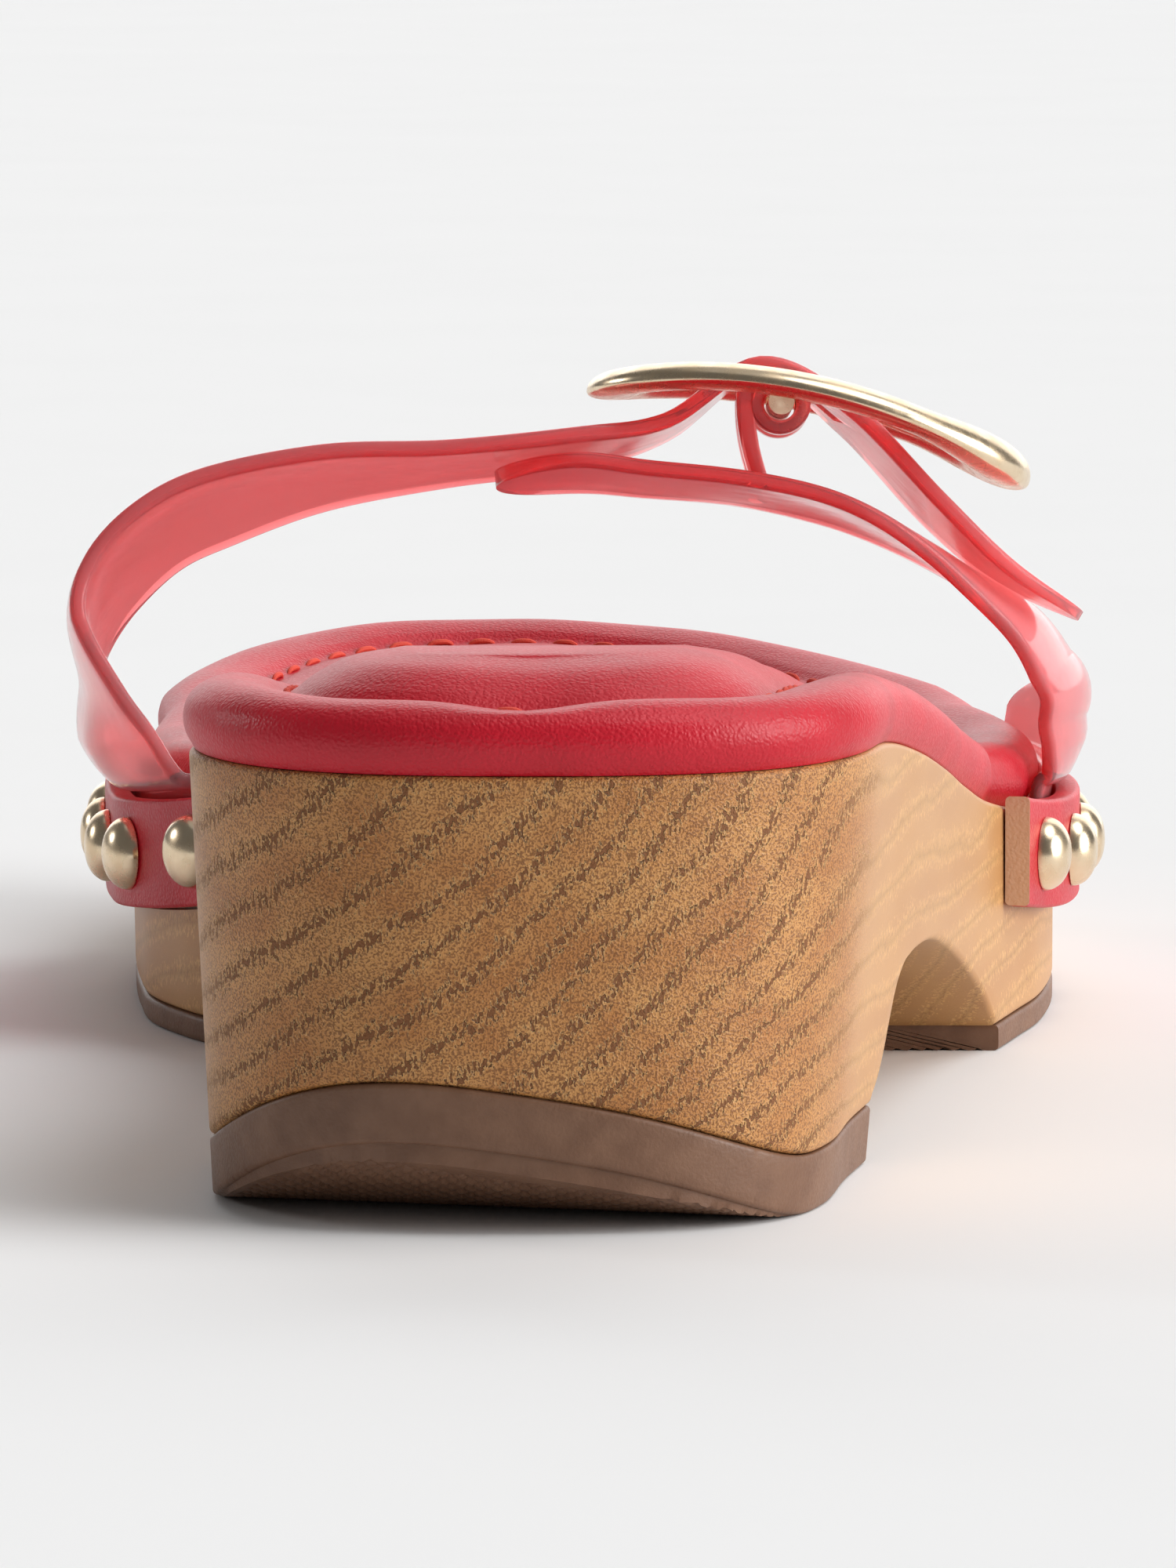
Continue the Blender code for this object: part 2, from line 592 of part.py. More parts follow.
def make_prong():
    """Prong with an eye round the bar, passing through the strap to rest in the ring's groove."""
    inner = BAR_RADIUS + GAP
    outer = inner + PRONG_EYE_WALL
    prong = bar_collar("buckle_prong", RING_CENTRE_Y, inner, outer, PRONG_EYE_WIDE, "gold")
    path = prong_path(0.0, 13)
    tangent = np.gradient(path, axis=0)
    tangent /= np.linalg.norm(tangent, axis=1, keepdims=True)
    across = np.array([0.0, 1.0, 0.0])
    up = np.cross(tangent, across)
    turn = np.linspace(0, 2 * np.pi, 8, endpoint=False)
    loops = []
    for point, upwards in zip(path, up):
        loops.append([point + PRONG_RADIUS * (np.cos(a) * across + np.sin(a) * upwards) for a in turn])
    combine(prong, loft("prong_rod", loops, "gold"), "UNION")
    return prong


def make_band(word, side):
    """Leather band along one side of the platform, over the strap's end."""
    along = np.linspace(*BAND_ENDS[word], 29)
    inner, outer = BAND_INNER, BAND_INNER + BAND_THICK
    high, low = BAND_RISE, BAND_RISE - BAND_TALL
    cut_in, cut_down = BAND_BEVEL
    profile = (
        (inner, low), (inner, high),
        (outer - cut_in, high), (outer, high - cut_down),
        (outer, low + cut_down), (outer - cut_in, low),
    )
    return loft(word + "_band", side_loops(side, along, profile), "leather")


def make_studs(word, side):
    """Row of domed nailheads along a band."""
    along = STUD_FIRST[word] + STUD_PITCH * np.arange(STUD_COUNT[word])
    seats = side_outline(side, along, BAND_INNER + BAND_THICK + GAP + STUD_SAGITTA)
    ahead = side_outline(side, along + 0.5, 0.0) - side_outline(side, along - 0.5, 0.0)
    turn = np.linspace(0, 2 * np.pi, 14, endpoint=False)
    studs = []
    for number, (seat, slope) in enumerate(zip(seats, ahead)):
        front = np.array([*slope / np.linalg.norm(slope), 0.0])
        up = np.array([0.0, 0.0, 1.0])
        out = np.cross(front, up) * (-1 if side == 0 else 1)
        middle = np.array([*seat, platform_top(along[number]) + BAND_RISE - BAND_TALL / 2])
        loops = []
        for tilt in np.radians((0, 30, 58, 80)):
            reach = STUD_RADIUS * np.cos(tilt)
            dome = middle + out * STUD_DOME * np.sin(tilt)
            loops.append([dome + reach * (np.cos(a) * front + np.sin(a) * up) for a in turn])
        studs.append(loft(f"{word}_stud_{number + 1}", loops, "gold"))
    return studs


def centre_shoe(pieces):
    """Puts the origin under the middle of the shoe's box, by moving the shoe's own empty."""
    shoe = bpy.data.objects.new("sandal", None)
    bpy.context.collection.objects.link(shoe)
    corners = np.array([vertex.co for piece in pieces for vertex in piece.data.vertices])
    low, high = corners.min(axis=0), corners.max(axis=0)
    shoe.location = (-(low[0] + high[0]) / 2, -(low[1] + high[1]) / 2, -low[2])
    for piece in bpy.data.objects:
        if piece is not shoe:
            piece.parent = shoe
    print("moved by", [round(value / MM, 3) for value in shoe.location])


parts = [
    make_platform(),
    make_outsole("heel_outsole", 0.0, HEEL_LIFT_FRONT, HEEL_LIFT_THICK),
    make_outsole("forefoot_outsole", FOREFOOT_SOLE_REAR, LENGTH, FOREFOOT_SOLE_THICK),
    make_footbed(),
    make_upper(),
    make_buckle(),
    make_prong(),
]
for side_index, side_word in enumerate(("medial", "lateral")):
    parts.append(make_band(side_word, side_index))
    parts += make_studs(side_word, side_index)
centre_shoe(parts)
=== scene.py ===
# %% [markdown]
# A clog sandal with a translucent strap, seen from straight behind its heel. The construction is
# already solid and fixed: this lesson loads it, and then makes the surfaces that a buyer would see and
# touch. Every length in the tables is in millimetres, from the back of the heel (Y), across the foot
# (X, the outer side is positive) and up from the floor (Z). One function turns those into metres at the
# very end.

import bmesh
import bpy
import numpy as np
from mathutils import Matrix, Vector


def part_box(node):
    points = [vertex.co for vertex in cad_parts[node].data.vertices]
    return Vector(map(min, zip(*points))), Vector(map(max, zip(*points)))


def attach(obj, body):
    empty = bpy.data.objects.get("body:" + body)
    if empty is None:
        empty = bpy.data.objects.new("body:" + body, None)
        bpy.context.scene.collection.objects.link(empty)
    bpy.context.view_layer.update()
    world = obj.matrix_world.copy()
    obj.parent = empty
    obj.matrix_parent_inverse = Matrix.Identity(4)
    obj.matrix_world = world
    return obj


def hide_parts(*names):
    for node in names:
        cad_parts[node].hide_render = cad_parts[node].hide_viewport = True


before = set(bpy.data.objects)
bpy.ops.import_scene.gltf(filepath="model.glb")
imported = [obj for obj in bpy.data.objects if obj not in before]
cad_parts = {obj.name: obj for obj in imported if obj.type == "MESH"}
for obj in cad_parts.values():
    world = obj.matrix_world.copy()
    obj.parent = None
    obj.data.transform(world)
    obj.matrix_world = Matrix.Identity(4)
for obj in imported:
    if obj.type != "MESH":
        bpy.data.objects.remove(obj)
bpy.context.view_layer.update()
MM = 0.001
HEEL_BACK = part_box("platform")[0].y / MM
MIDLINE = -0.17
PLACE = np.array([MIDLINE, HEEL_BACK, 0.0])
print("nodes:", len(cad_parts), "heel back at", round(HEEL_BACK, 2), "mm")

# %% [markdown]
# The camera is a plain pinhole, worked out from the photograph: almost a metre behind the heel, at the
# height of a low table, looking a little down through a long lens. Long lenses flatten depth, so the
# toe looks nearly as large as the heel. It could be aimed by eye, but sizes that are read from a
# photograph are only as good as its camera. Depth of field stays off, because the part has to be sharp
# from every side.

# %% Camera
IMAGE_TALL = 2000
FOCAL_PIXELS = 14200.0
HORIZON_ROW = -679.0
CAMERA_BEHIND = 980.0
CAMERA_HEIGHT = 157.0
SENSOR = 36.0
FAR_CLIP = 20.0


def put(name, data):
    """New object that holds a mesh, a lamp or a camera, linked to the scene."""
    made = bpy.data.objects.new(name, data)
    bpy.context.scene.collection.objects.link(made)
    return made


def make_camera():
    """Pinhole camera: the lens follows from the focal length in pixels, the tilt from the horizon's row."""
    lens = bpy.data.cameras.new("camera")
    lens.sensor_width = SENSOR
    lens.lens = SENSOR * FOCAL_PIXELS / IMAGE_TALL
    lens.clip_end = FAR_CLIP
    camera = put("camera", lens)
    camera.location = (PLACE + (0.0, -CAMERA_BEHIND, CAMERA_HEIGHT)) * MM
    tilt = np.arctan((IMAGE_TALL / 2 - HORIZON_ROW) / FOCAL_PIXELS)
    camera.rotation_euler = (np.pi / 2 - tilt, 0.0, 0.0)
    bpy.context.scene.camera = camera
    print("lens", round(lens.lens, 1), "mm, tilted down", round(np.degrees(tilt), 2), "degrees")


make_camera()

# %% [markdown]
# Every curved surface below is a grid of points: a function of two parameters, worked out as whole
# arrays. One helper joins the grid's points into quads. A loft is a row of closed loops, capped at both
# ends by joining each point of the end loop to its mate on the other side, as the rungs of a ladder do.

# %% Grids and lofts
MERGE_WITHIN, FLAT_WITHIN = 2e-6, 1e-7
LEAST_AREA = 0.01


def grid_quads(rows, columns, ring):
    """Corners of the quads between neighbouring loops; in a ring, the last loop meets the first."""
    i = np.arange(rows if ring else rows - 1)[:, None]
    j = np.arange(columns)[None, :]
    below, beside = (i + 1) % rows, (j + 1) % columns
    corners = (i * columns + j, i * columns + beside, below * columns + beside, below * columns + j)
    return np.stack(np.broadcast_arrays(*corners), axis=-1).reshape(-1, 4)


def ladder_quads(columns, first):
    """Rungs across one loop: point k and its follower, joined to their mates counted from the loop's end."""
    k = np.arange(columns // 2 - 1)
    return first + np.stack([k, k + 1, columns - 2 - k, columns - 1 - k], axis=1)


def fill_mesh(name, points, quads):
    """Mesh from an array of points in millimetres and an array of quads."""
    mesh = bpy.data.meshes.new(name)
    mesh.vertices.add(len(points))
    mesh.vertices.foreach_set("co", ((points + PLACE) * MM).astype(np.float32).ravel())
    mesh.loops.add(quads.size)
    mesh.loops.foreach_set("vertex_index", quads.astype(np.int32).ravel())
    mesh.polygons.add(len(quads))
    mesh.polygons.foreach_set("loop_start", np.arange(0, quads.size, 4, dtype=np.int32))
    mesh.update(calc_edges=True)
    return mesh


def close_mesh(mesh, sharp=40.0):
    """Merges doubled points, turns the faces outwards and shades the surface smooth up to a sharp angle."""
    builder = bmesh.new()
    builder.from_mesh(mesh)
    bmesh.ops.remove_doubles(builder, verts=builder.verts, dist=MERGE_WITHIN)
    bmesh.ops.dissolve_degenerate(builder, edges=builder.edges, dist=FLAT_WITHIN)
    bmesh.ops.recalc_face_normals(builder, faces=builder.faces)
    builder.to_mesh(mesh)
    builder.free()
    mesh.shade_smooth()
    mesh.set_sharp_from_angle(angle=np.radians(sharp))
    return mesh


def loft(name, loops, ring=False, sharp=40.0):
    """Closed shell through an array of loops (loop, point, xyz), each with an even number of points.

    An end is capped only if its loop has an area: at the heel and the toe both sides meet in one line.
    """
    rows, columns = loops.shape[:2]
    quads = [grid_quads(rows, columns, ring)]
    for end in () if ring else (0, rows - 1):
        turned = np.cross(loops[end], np.roll(loops[end], -1, axis=0))
        if np.linalg.norm(turned.sum(axis=0)) > LEAST_AREA:
            quads.append(ladder_quads(columns, end * columns))
    return close_mesh(fill_mesh(name, loops.reshape(-1, 3), np.concatenate(quads)), sharp)


print("grids and lofts ready")

# %% [markdown]
# Two more helpers finish a piece. One hangs the finished surface on the shoe and hides the solids that it
# stands for. The other makes one skin of shells that overlap. Joining them would be simpler, but it
# would leave walls inside, which show through anything clear and spoil the mesh. Boolean modifiers take
# those away, and the result is read back at once, so every finished piece is a plain mesh.

# %% Show and unite


def show(name, mesh, finish, slot, *nodes):
    """Finished piece at the origin that rides on the shoe and stands for the named solids."""
    piece = put(name, mesh)
    mesh.materials.append(finish)
    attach(piece, "root")
    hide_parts(*nodes)
    triangles = sum(len(face.vertices) - 2 for face in mesh.polygons)
    print(f"{name}: {triangles} triangles")
    return piece


def united(name, shells, cuts=(), sharp=40.0):
    """One closed mesh from overlapping shells: each is united with the first, and the cuts are taken away."""
    base = put(name, shells[0])
    helpers = []
    for operation, meshes in (("UNION", shells[1:]), ("DIFFERENCE", cuts)):
        for mesh in meshes:
            helper = put(mesh.name, mesh)
            helpers.append(helper)
            modifier = base.modifiers.new(mesh.name, "BOOLEAN")
            modifier.operation, modifier.object = operation, helper
    graph = bpy.context.evaluated_depsgraph_get()
    mesh = bpy.data.meshes.new_from_object(base.evaluated_get(graph))
    for helper in (base, *helpers):
        bpy.data.objects.remove(helper, do_unlink=True)
    mesh.name = name
    mesh.materials.clear()
    mesh.shade_smooth()
    mesh.set_sharp_from_angle(angle=np.radians(sharp))
    return mesh


print("show and unite ready")

# %% [markdown]
# The sole's outline is a short table of sections, as a last maker keeps it: how far the inner and outer
# edges stand from the midline, and how high the platform's top is. A smooth curve runs through each
# column. A curve could be traced over a picture instead, but these are the very numbers that the solid
# was made from, so surface and solid agree.

# %% Outline of the sole
LENGTH = 246.0
SECTION_COLUMNS = ("along", "medial", "lateral", "top")
SECTIONS = np.array([
    (0.0, -36.5, 25.5, 41.7),
    (30.0, -36.3, 27.0, 41.2),
    (46.0, -35.6, 29.1, 39.5),
    (60.0, -34.0, 31.6, 37.1),
    (80.0, -31.8, 34.6, 33.2),
    (100.0, -31.8, 37.2, 29.1),
    (118.0, -34.8, 40.2, 25.4),
    (130.0, -41.0, 43.0, 23.4),
    (140.0, -44.7, 45.6, 22.3),
    (152.0, -46.3, 47.4, 21.5),
    (168.0, -47.4, 48.0, 21.0),
    (190.0, -48.0, 45.0, 21.2),
    (215.0, -50.5, 40.5, 22.2),
    (246.0, -54.0, 34.0, 24.6),
])


def smooth(known, values, at):
    """Cubic curve through the known points, with the slope of each taken from its neighbours."""
    slope = np.gradient(values, known)
    i = np.clip(np.searchsorted(known, at) - 1, 0, len(known) - 2)
    step = known[i + 1] - known[i]
    t = (at - known[i]) / step
    start = (1 + 2 * t) * (1 - t) ** 2 * values[i] + t * (1 - t) ** 2 * step * slope[i]
    end = t * t * (3 - 2 * t) * values[i + 1] + t * t * (t - 1) * step * slope[i + 1]
    return start + end


def section(name, along):
    """One column of the section table at any place along the shoe."""
    known = SECTIONS[:, 0]
    return smooth(known, SECTIONS[:, SECTION_COLUMNS.index(name)], np.clip(along, 0.0, LENGTH))


print("forefoot", round(float(section("lateral", 168.0) - section("medial", 168.0)), 1), "mm wide")

# %% [markdown]
# The table says nothing about the round ends. There a superellipse, which is a circle with fuller
# corners, draws both edges in to one point. Moving an edge along its own normal then gives the rim of
# the footbed, the bands and the nails, so they all follow one outline: scaling the outline would do
# that only for a circle.

# %% Edges of the sole
HEEL_ROUND, HEEL_POWER = 30.0, 2.5
TOE_ROUND, TOE_POWER = 80.0, 2.3
HEEL_STATIONS, TOE_STATIONS = 44, 64


def drawn_in(along):
    """Share of the half width that is left: superellipses that close the outline at the heel and the toe."""
    back = np.clip(1 - along / HEEL_ROUND, 0, 1)
    front = np.clip(1 - (LENGTH - along) / TOE_ROUND, 0, 1)
    return (1 - back ** HEEL_POWER) ** (1 / HEEL_POWER) * (1 - front ** TOE_POWER) ** (1 / TOE_POWER)


def edges(along, grow):
    """Medial and lateral edge (x, y) at each station: the table drawn in, then moved along its own normal."""
    medial, lateral = section("medial", along), section("lateral", along)
    keep = drawn_in(along)
    centre, half = (medial + lateral) / 2, (lateral - medial) / 2
    moved = []
    for side in (-1, 1):
        edge = np.stack([centre + side * half * keep, along], axis=1)
        tangent = np.gradient(edge, axis=0)
        normal = side * np.stack([tangent[:, 1], -tangent[:, 0]], axis=1)
        normal[along <= 0] = (0, -1)
        normal[along >= LENGTH] = (0, 1)
        normal /= np.linalg.norm(normal, axis=1, keepdims=True)
        moved.append(edge + normal * np.reshape(grow, (-1, 1)))
    return moved


def side_outline(side, along, grow):
    """Points (x, y) on the medial (0) or lateral (1) side of the platform, moved outwards."""
    step = along[1] - along[0]
    wider = np.concatenate([[along[0] - step], along, [along[-1] + step]])
    return edges(wider, grow)[side][1:-1]


def stations(start, end, step, extra=()):
    """Places along the shoe, spaced as the cosine of an angle in the round ends so that no facet shows."""
    heel = HEEL_ROUND * (1 - np.cos(np.linspace(0, np.pi / 2, HEEL_STATIONS)))
    toe = LENGTH - TOE_ROUND * (1 - np.cos(np.linspace(0, np.pi / 2, TOE_STATIONS)))
    waist = np.arange(HEEL_ROUND + step, LENGTH - TOE_ROUND, step)
    places = np.unique(np.round(np.concatenate([heel, waist, toe, extra]), 4))
    kept = places[(places > start + 1e-3) & (places < end - 1e-3)]
    return np.concatenate([[start], kept, [end]])


print("outline has", len(stations(0.0, LENGTH, 1.0)), "stations at a step of 1 mm")

# %% [markdown]
# Three layers share that outline: the platform, the heel's rubber and the forefoot's rubber. Each is a
# loft along the shoe whose loops run along the underside, up the drafted outer wall, back over the top
# and down the other wall. Small round corners catch the light as a sanded or moulded edge does. The
# underside of the rubber is a fine grid, so that the tread is real relief and not a picture of one.

# %% Heights of the layers
NOTCH = np.array([
    (46.0, 5.8),
    (48.6, 7.0),
    (50.8, 9.0),
    (52.6, 11.6),
    (54.8, 14.4),
    (58.2, 16.4),
    (64.0, 17.2),
    (72.0, 17.2),
    (80.5, 16.5),
    (91.0, 14.6),
    (101.0, 12.0),
    (109.0, 9.2),
    (115.0, 6.4),
    (120.0, 2.9),
])
HEEL_LIFT_THICK, HEEL_LIFT_FRONT = 5.5, 46.0
FOREFOOT_SOLE_THICK, FOREFOOT_SOLE_REAR = 2.6, 121.0
ROCKER_START, ROCKER_SKEW, ROCKER_RADIUS = 21.5, 0.24, 36.0
TOE_SPRING_START, TOE_SPRING_RADIUS = 200.0, 235.0
DRAFT_ACROSS = (-30.0, 25.0)
DRAFTS = np.array([
    (0.0, 0.05, 0.095),
    (20.0, 0.05, 0.1),
    (34.0, 0.05, 0.095),
    (46.0, 0.055, 0.083),
    (66.0, 0.06, 0.083),
    (80.0, 0.05, 0.08),
    (91.0, 0.045, 0.07),
    (101.0, 0.035, 0.05),
    (109.0, 0.025, 0.028),
    (118.0, 0.02, 0.0),
    (150.0, 0.02, 0.0),
    (246.0, 0.02, 0.02),
])
GLUE_LINE = 0.06


def side_draft(along, across):
    """How far a side draws in for each millimetre down: two columns of the table, blended across."""
    medial, lateral = (smooth(DRAFTS[:, 0], DRAFTS[:, i], along) for i in (1, 2))
    share = np.interp(across, DRAFT_ACROSS, (0, 1))
    return medial * (1 - share) + lateral * share


def platform_top(along, across):
    """Height of the platform's top, which is level across the shoe."""
    return section("top", along)


def floor_line(along, across):
    """Height of the outsoles' underside: flat, lifted by the heel's slanted rocker and the toe spring."""
    rocker = np.clip(ROCKER_START - ROCKER_SKEW * across - along, 0, None) ** 2 / (2 * ROCKER_RADIUS)
    spring = np.clip(along - TOE_SPRING_START, 0, None) ** 2 / (2 * TOE_SPRING_RADIUS)
    return rocker + spring


def platform_under(along, across):
    """Height of the platform's underside: on the heel lift, over the arch notch and on the front sole."""
    heel = floor_line(along, across) + HEEL_LIFT_THICK + GLUE_LINE
    front = floor_line(along, across) + FOREFOOT_SOLE_THICK + GLUE_LINE
    known = NOTCH[:, 0]
    notch = smooth(known, NOTCH[:, 1], np.clip(along, known[0], known[-1]))
    return np.where(along <= known[0], heel, np.where(along >= known[-1], front, notch))


print("heel", float(section("top", 0.0)), "mm high, notch", NOTCH[:, 1].max(), "mm")

# %% [markdown]
# A layer could be the outline extruded downwards, but then its walls would be plumb and its corners
# sharp. As a loft it has one loop at each station, and the draft of the walls, the round corners and
# the rebate for the strap's ends may all change along the shoe. The walls come first, and the flat
# parts are spanned between them.

# %% Loft of one layer
REBATE_DEPTH, REBATE_TALL = 2.1, 10.4
REBATE_ENDS = ((124.2, 187.0), (143.2, 191.0))
CORNER_STEPS, WALL_STEPS = 5, 5


def wall(along, side, low, high, corner, rebated):
    """Loops of points up one outer wall, from the underside to the top.

    Height runs from low to high with a quarter circle of the corner's radius at both ends, and each point is
    drawn in by the wall's draft and by that circle. Where the strap ends, the upper part steps in by the
    rebate.
    """
    across = edges(along, 0.0)[side][:, 0]
    bottom, crown = low(along, across), high(along, across)
    turn = np.linspace(0, np.pi / 2, CORNER_STEPS)
    draft = side_draft(along, across)
    top_edge = section("top", along)
    step = np.where((along > REBATE_ENDS[side][0]) & (along < REBATE_ENDS[side][1]), REBATE_DEPTH, 0.0)
    heights = [bottom + corner * (1 - np.cos(angle)) for angle in turn]
    insets = [corner * (1 - np.sin(angle)) + 0 * along for angle in turn]
    shelf = np.clip(top_edge - REBATE_TALL, bottom + corner, crown - corner)
    for share in np.linspace(1 / WALL_STEPS, 1.0, WALL_STEPS):
        heights.append((1 - share) * (bottom + corner) + share * shelf)
        insets.append(0 * along)
    for share in np.linspace(0.0, 1 - 1 / WALL_STEPS, WALL_STEPS):
        heights.append((1 - share) * shelf + share * (crown - corner))
        insets.append(step * rebated)
    heights += [crown - corner * (1 - np.cos(angle)) for angle in turn[::-1]]
    insets += [corner * (1 - np.sin(angle)) + step * rebated for angle in turn[::-1]]
    rings = []
    for height, inset in zip(heights, insets):
        edge = edges(along, -draft * (top_edge - height) - inset)[side]
        rings.append(np.column_stack([edge, height]))
    return np.stack(rings, axis=1)


def span(start, end, surface, count):
    """Points across from one edge to the other, at even shares of the way, lifted onto a surface."""
    share = np.linspace(0, 1, count)[None, 1:-1, None]
    points = start[:, None] * (1 - share) + end[:, None] * share
    points[:, :, 2] = surface(points[:, :, 1], points[:, :, 0])
    return points


def layer(name, along, low, high, corner, across=9, rebated=False):
    """Sole layer: underside, lateral wall, top and medial wall joined into one loop at each station."""
    medial, lateral = (wall(along, side, low, high, corner, rebated) for side in (0, 1))
    under = span(medial[:, 0], lateral[:, 0], low, across)
    over = span(lateral[:, -1], medial[:, -1], high, across)
    return loft(name, np.concatenate([under, lateral, over, medial[:, ::-1]], axis=1), sharp=50.0)


print("layers are lofts of", 4 * (CORNER_STEPS + WALL_STEPS), "wall points at each station")

# %% [markdown]
# Materials come before the pieces, because each piece takes its finish when it is made. They are node
# trees that read Object coordinates, so a pattern stays on the shoe from every side. A few small
# helpers keep the trees short: one adds a node with its options and inputs, one does sums, and two
# start and finish a material.

# %% Node helpers


def node(tree, kind, inputs=(), **options):
    """Adds a node, sets its options, and fills its inputs with numbers or with other nodes' outputs."""
    made = tree.nodes.new(kind)
    for key, value in options.items():
        setattr(made, key, value)
    for key, value in dict(inputs).items():
        if isinstance(value, bpy.types.NodeSocket):
            tree.links.new(value, made.inputs[key])
        else:
            made.inputs[key].default_value = value
    return made


def sums(tree, operation, *values):
    """Output of a Math node."""
    return node(tree, "ShaderNodeMath", enumerate(values), operation=operation).outputs[0]


def millimetres(tree):
    """Object coordinates in millimetres."""
    place = node(tree, "ShaderNodeTexCoord").outputs["Object"]
    return node(tree, "ShaderNodeVectorMath", {0: place, "Scale": 1 / MM}, operation="SCALE").outputs[0]


def new_finish(name):
    """Empty Principled material and its tree and shader."""
    made = bpy.data.materials.new(name)
    made.use_nodes = True
    return made, made.node_tree, made.node_tree.nodes["Principled BSDF"]


def connect(tree, shader, **sockets):
    """Links outputs to the shader's named inputs, written with underscores."""
    for name, output in sockets.items():
        tree.links.new(output, shader.inputs[name.replace("_", " ")])


print("node helpers ready")

# %% [markdown]
# Real finishes are never even, so each one below is built from the same four moves: a noise for where
# something happens, a range for how sharply, a blend for its colour and a bump for its relief. Picture
# textures would need an unwrapped surface and would show their seams; noise has neither.

# %% Noise, range, blend and bump
NOISE_RANGE = (0.3, 0.7)


def noise(tree, place, scale, detail=2.0, stretch=(1.0, 1.0, 1.0), turn=(0.0, 0.0, 0.0)):
    """Soft noise from 0 to 1, with so many lumps to the millimetre, stretched and turned by a Mapping."""
    mapped = node(tree, "ShaderNodeMapping", {"Vector": place, "Rotation": turn, "Scale": stretch})
    inputs = {"Vector": mapped.outputs[0], "Scale": scale, "Detail": detail}
    return node(tree, "ShaderNodeTexNoise", inputs).outputs["Fac"]


def blend(tree, share, first, second):
    """Mix of two colours, each a socket or a linear colour."""
    mix = node(tree, "ShaderNodeMix", data_type="RGBA")
    for key, value in ((0, share), (6, first), (7, second)):
        if isinstance(value, bpy.types.NodeSocket):
            tree.links.new(value, mix.inputs[key])
        else:
            mix.inputs[key].default_value = (*value, 1.0) if key else value
    return mix.outputs[2]


def between(tree, value, low, high, start=0.0, end=1.0):
    """Value moved from the range low to high to the range start to end, and held there."""
    inputs = {"Value": value, "From Min": low, "From Max": high, "To Min": start, "To Max": end}
    return node(tree, "ShaderNodeMapRange", inputs).outputs["Result"]


def bump(tree, height, depth, under=None):
    """Bump node for a height from 0 to 1 and a depth in millimetres, laid over another bump."""
    inputs = {"Height": height, "Distance": depth * MM}
    if under is not None:
        inputs["Normal"] = under
    return node(tree, "ShaderNodeBump", inputs).outputs["Normal"]


print("pattern helpers ready, most of a noise lies in", NOISE_RANGE)

# %% [markdown]
# The platform is wood, or a moulding that copies it: pale tan with a strong fine speckle, and dark
# grain made of rows of small pressed pores. On the heel's back the rows rise to the right as arcs round
# a centre that lies up and to the left, wide apart at the top and closer lower down. A wave texture
# would space them evenly, so the rows are worked out as rings: the distance from that centre, raised to
# a power.

# %% Rows of the grain
GRAIN_CENTRE = (-62.0, 0.0, 88.0)
GRAIN_LEAN, GRAIN_WANDER = 0.14, 5.0
GRAIN_CROWD, GRAIN_PITCH = 2.2, 1580.0
GRAIN_BENDS, GRAIN_STRETCH = 0.06, (1.0, 0.25, 1.0)


def grain_rows(tree, place):
    """Distance from a row of pores, 0 in the row and 1 midway to the next, and distance from the heel.

    The rows are rings round a line along the shoe. They lean forwards, and a slow noise bends them.
    """
    flat = node(tree, "ShaderNodeVectorMath", {0: place, 1: (1.0, 0.0, 1.0)}, operation="MULTIPLY").outputs[0]
    inputs = {0: flat, 1: GRAIN_CENTRE}
    reach = node(tree, "ShaderNodeVectorMath", inputs, operation="DISTANCE").outputs["Value"]
    along = node(tree, "ShaderNodeSeparateXYZ", {0: place}).outputs["Y"]
    from_heel = sums(tree, "SUBTRACT", along, HEEL_BACK)
    leaned = sums(tree, "MULTIPLY_ADD", from_heel, -GRAIN_LEAN, reach)
    slow = noise(tree, place, GRAIN_BENDS, 3.0, GRAIN_STRETCH)
    wander = sums(tree, "MULTIPLY_ADD", slow, GRAIN_WANDER, leaned)
    rings = sums(tree, "DIVIDE", sums(tree, "POWER", wander, GRAIN_CROWD), GRAIN_PITCH)
    return sums(tree, "MULTIPLY", sums(tree, "PINGPONG", rings, 0.5), 2.0), from_heel


print("grain is rings round", GRAIN_CENTRE)

# %% [markdown]
# A pore is a short steep stroke with a pale rim, and that rim is a painted highlight on its pressed
# edge. A stroke shows where a stretched noise is higher than a threshold, which grows away from each
# row. Single strokes could be modelled, but there are thousands. Along the sides the pores thin out and
# only faint dark lines go on where the rows were; the sides are also painted a little paler, a painted
# sheen for the light that falls on the lit side.

# %% Wood
WOOD_PALE, WOOD_WARM = (0.62, 0.30, 0.095), (0.50, 0.205, 0.055)
# The rim colour is a painted highlight on the pores' pressed edges.
WOOD_PORE, WOOD_SPECK, WOOD_HIGHLIGHT_RIM = (0.19, 0.06, 0.014), (0.21, 0.078, 0.02), (0.80, 0.48, 0.19)
# The side colour is a painted sheen: it paints the sides paler for the light that falls on them.
WOOD_SHEEN_SIDE = (0.485, 0.27, 0.115)
WOOD_ROUGH = (0.42, 0.65)
PORE_SHAPE, PORE_LEAN = (3.3, 3.3, 1.6), (0.0, 0.4, 0.0)
PORE_RISE, PORE_FROM, PORE_DEPTH = 0.42, 0.43, 0.24
PORE_SOFT, RIM_HIGHLIGHT_SOFT = 0.05, 0.07
SPECKS_PER_MM, SPECK_RANGE, SPECK_DEPTH = 4.6, (0.47, 0.57), 0.16
TONES_PER_MM, TONE_STRETCH, TONE_RANGE = 0.16, (1.0, 0.12, 1.0), (0.36, 0.64)
SIDE_SHEEN_SHARE, SPECK_SHARE, RIM_HIGHLIGHT_SHARE, PORE_SHARE = 0.7, 0.8, 0.6, 0.92
LINE_WIDE, LINE_SHARE = 0.35, 0.42
BACK_ENDS, SIDE_STARTS, SIDE_PORES = 12.0, 38.0, 0.06


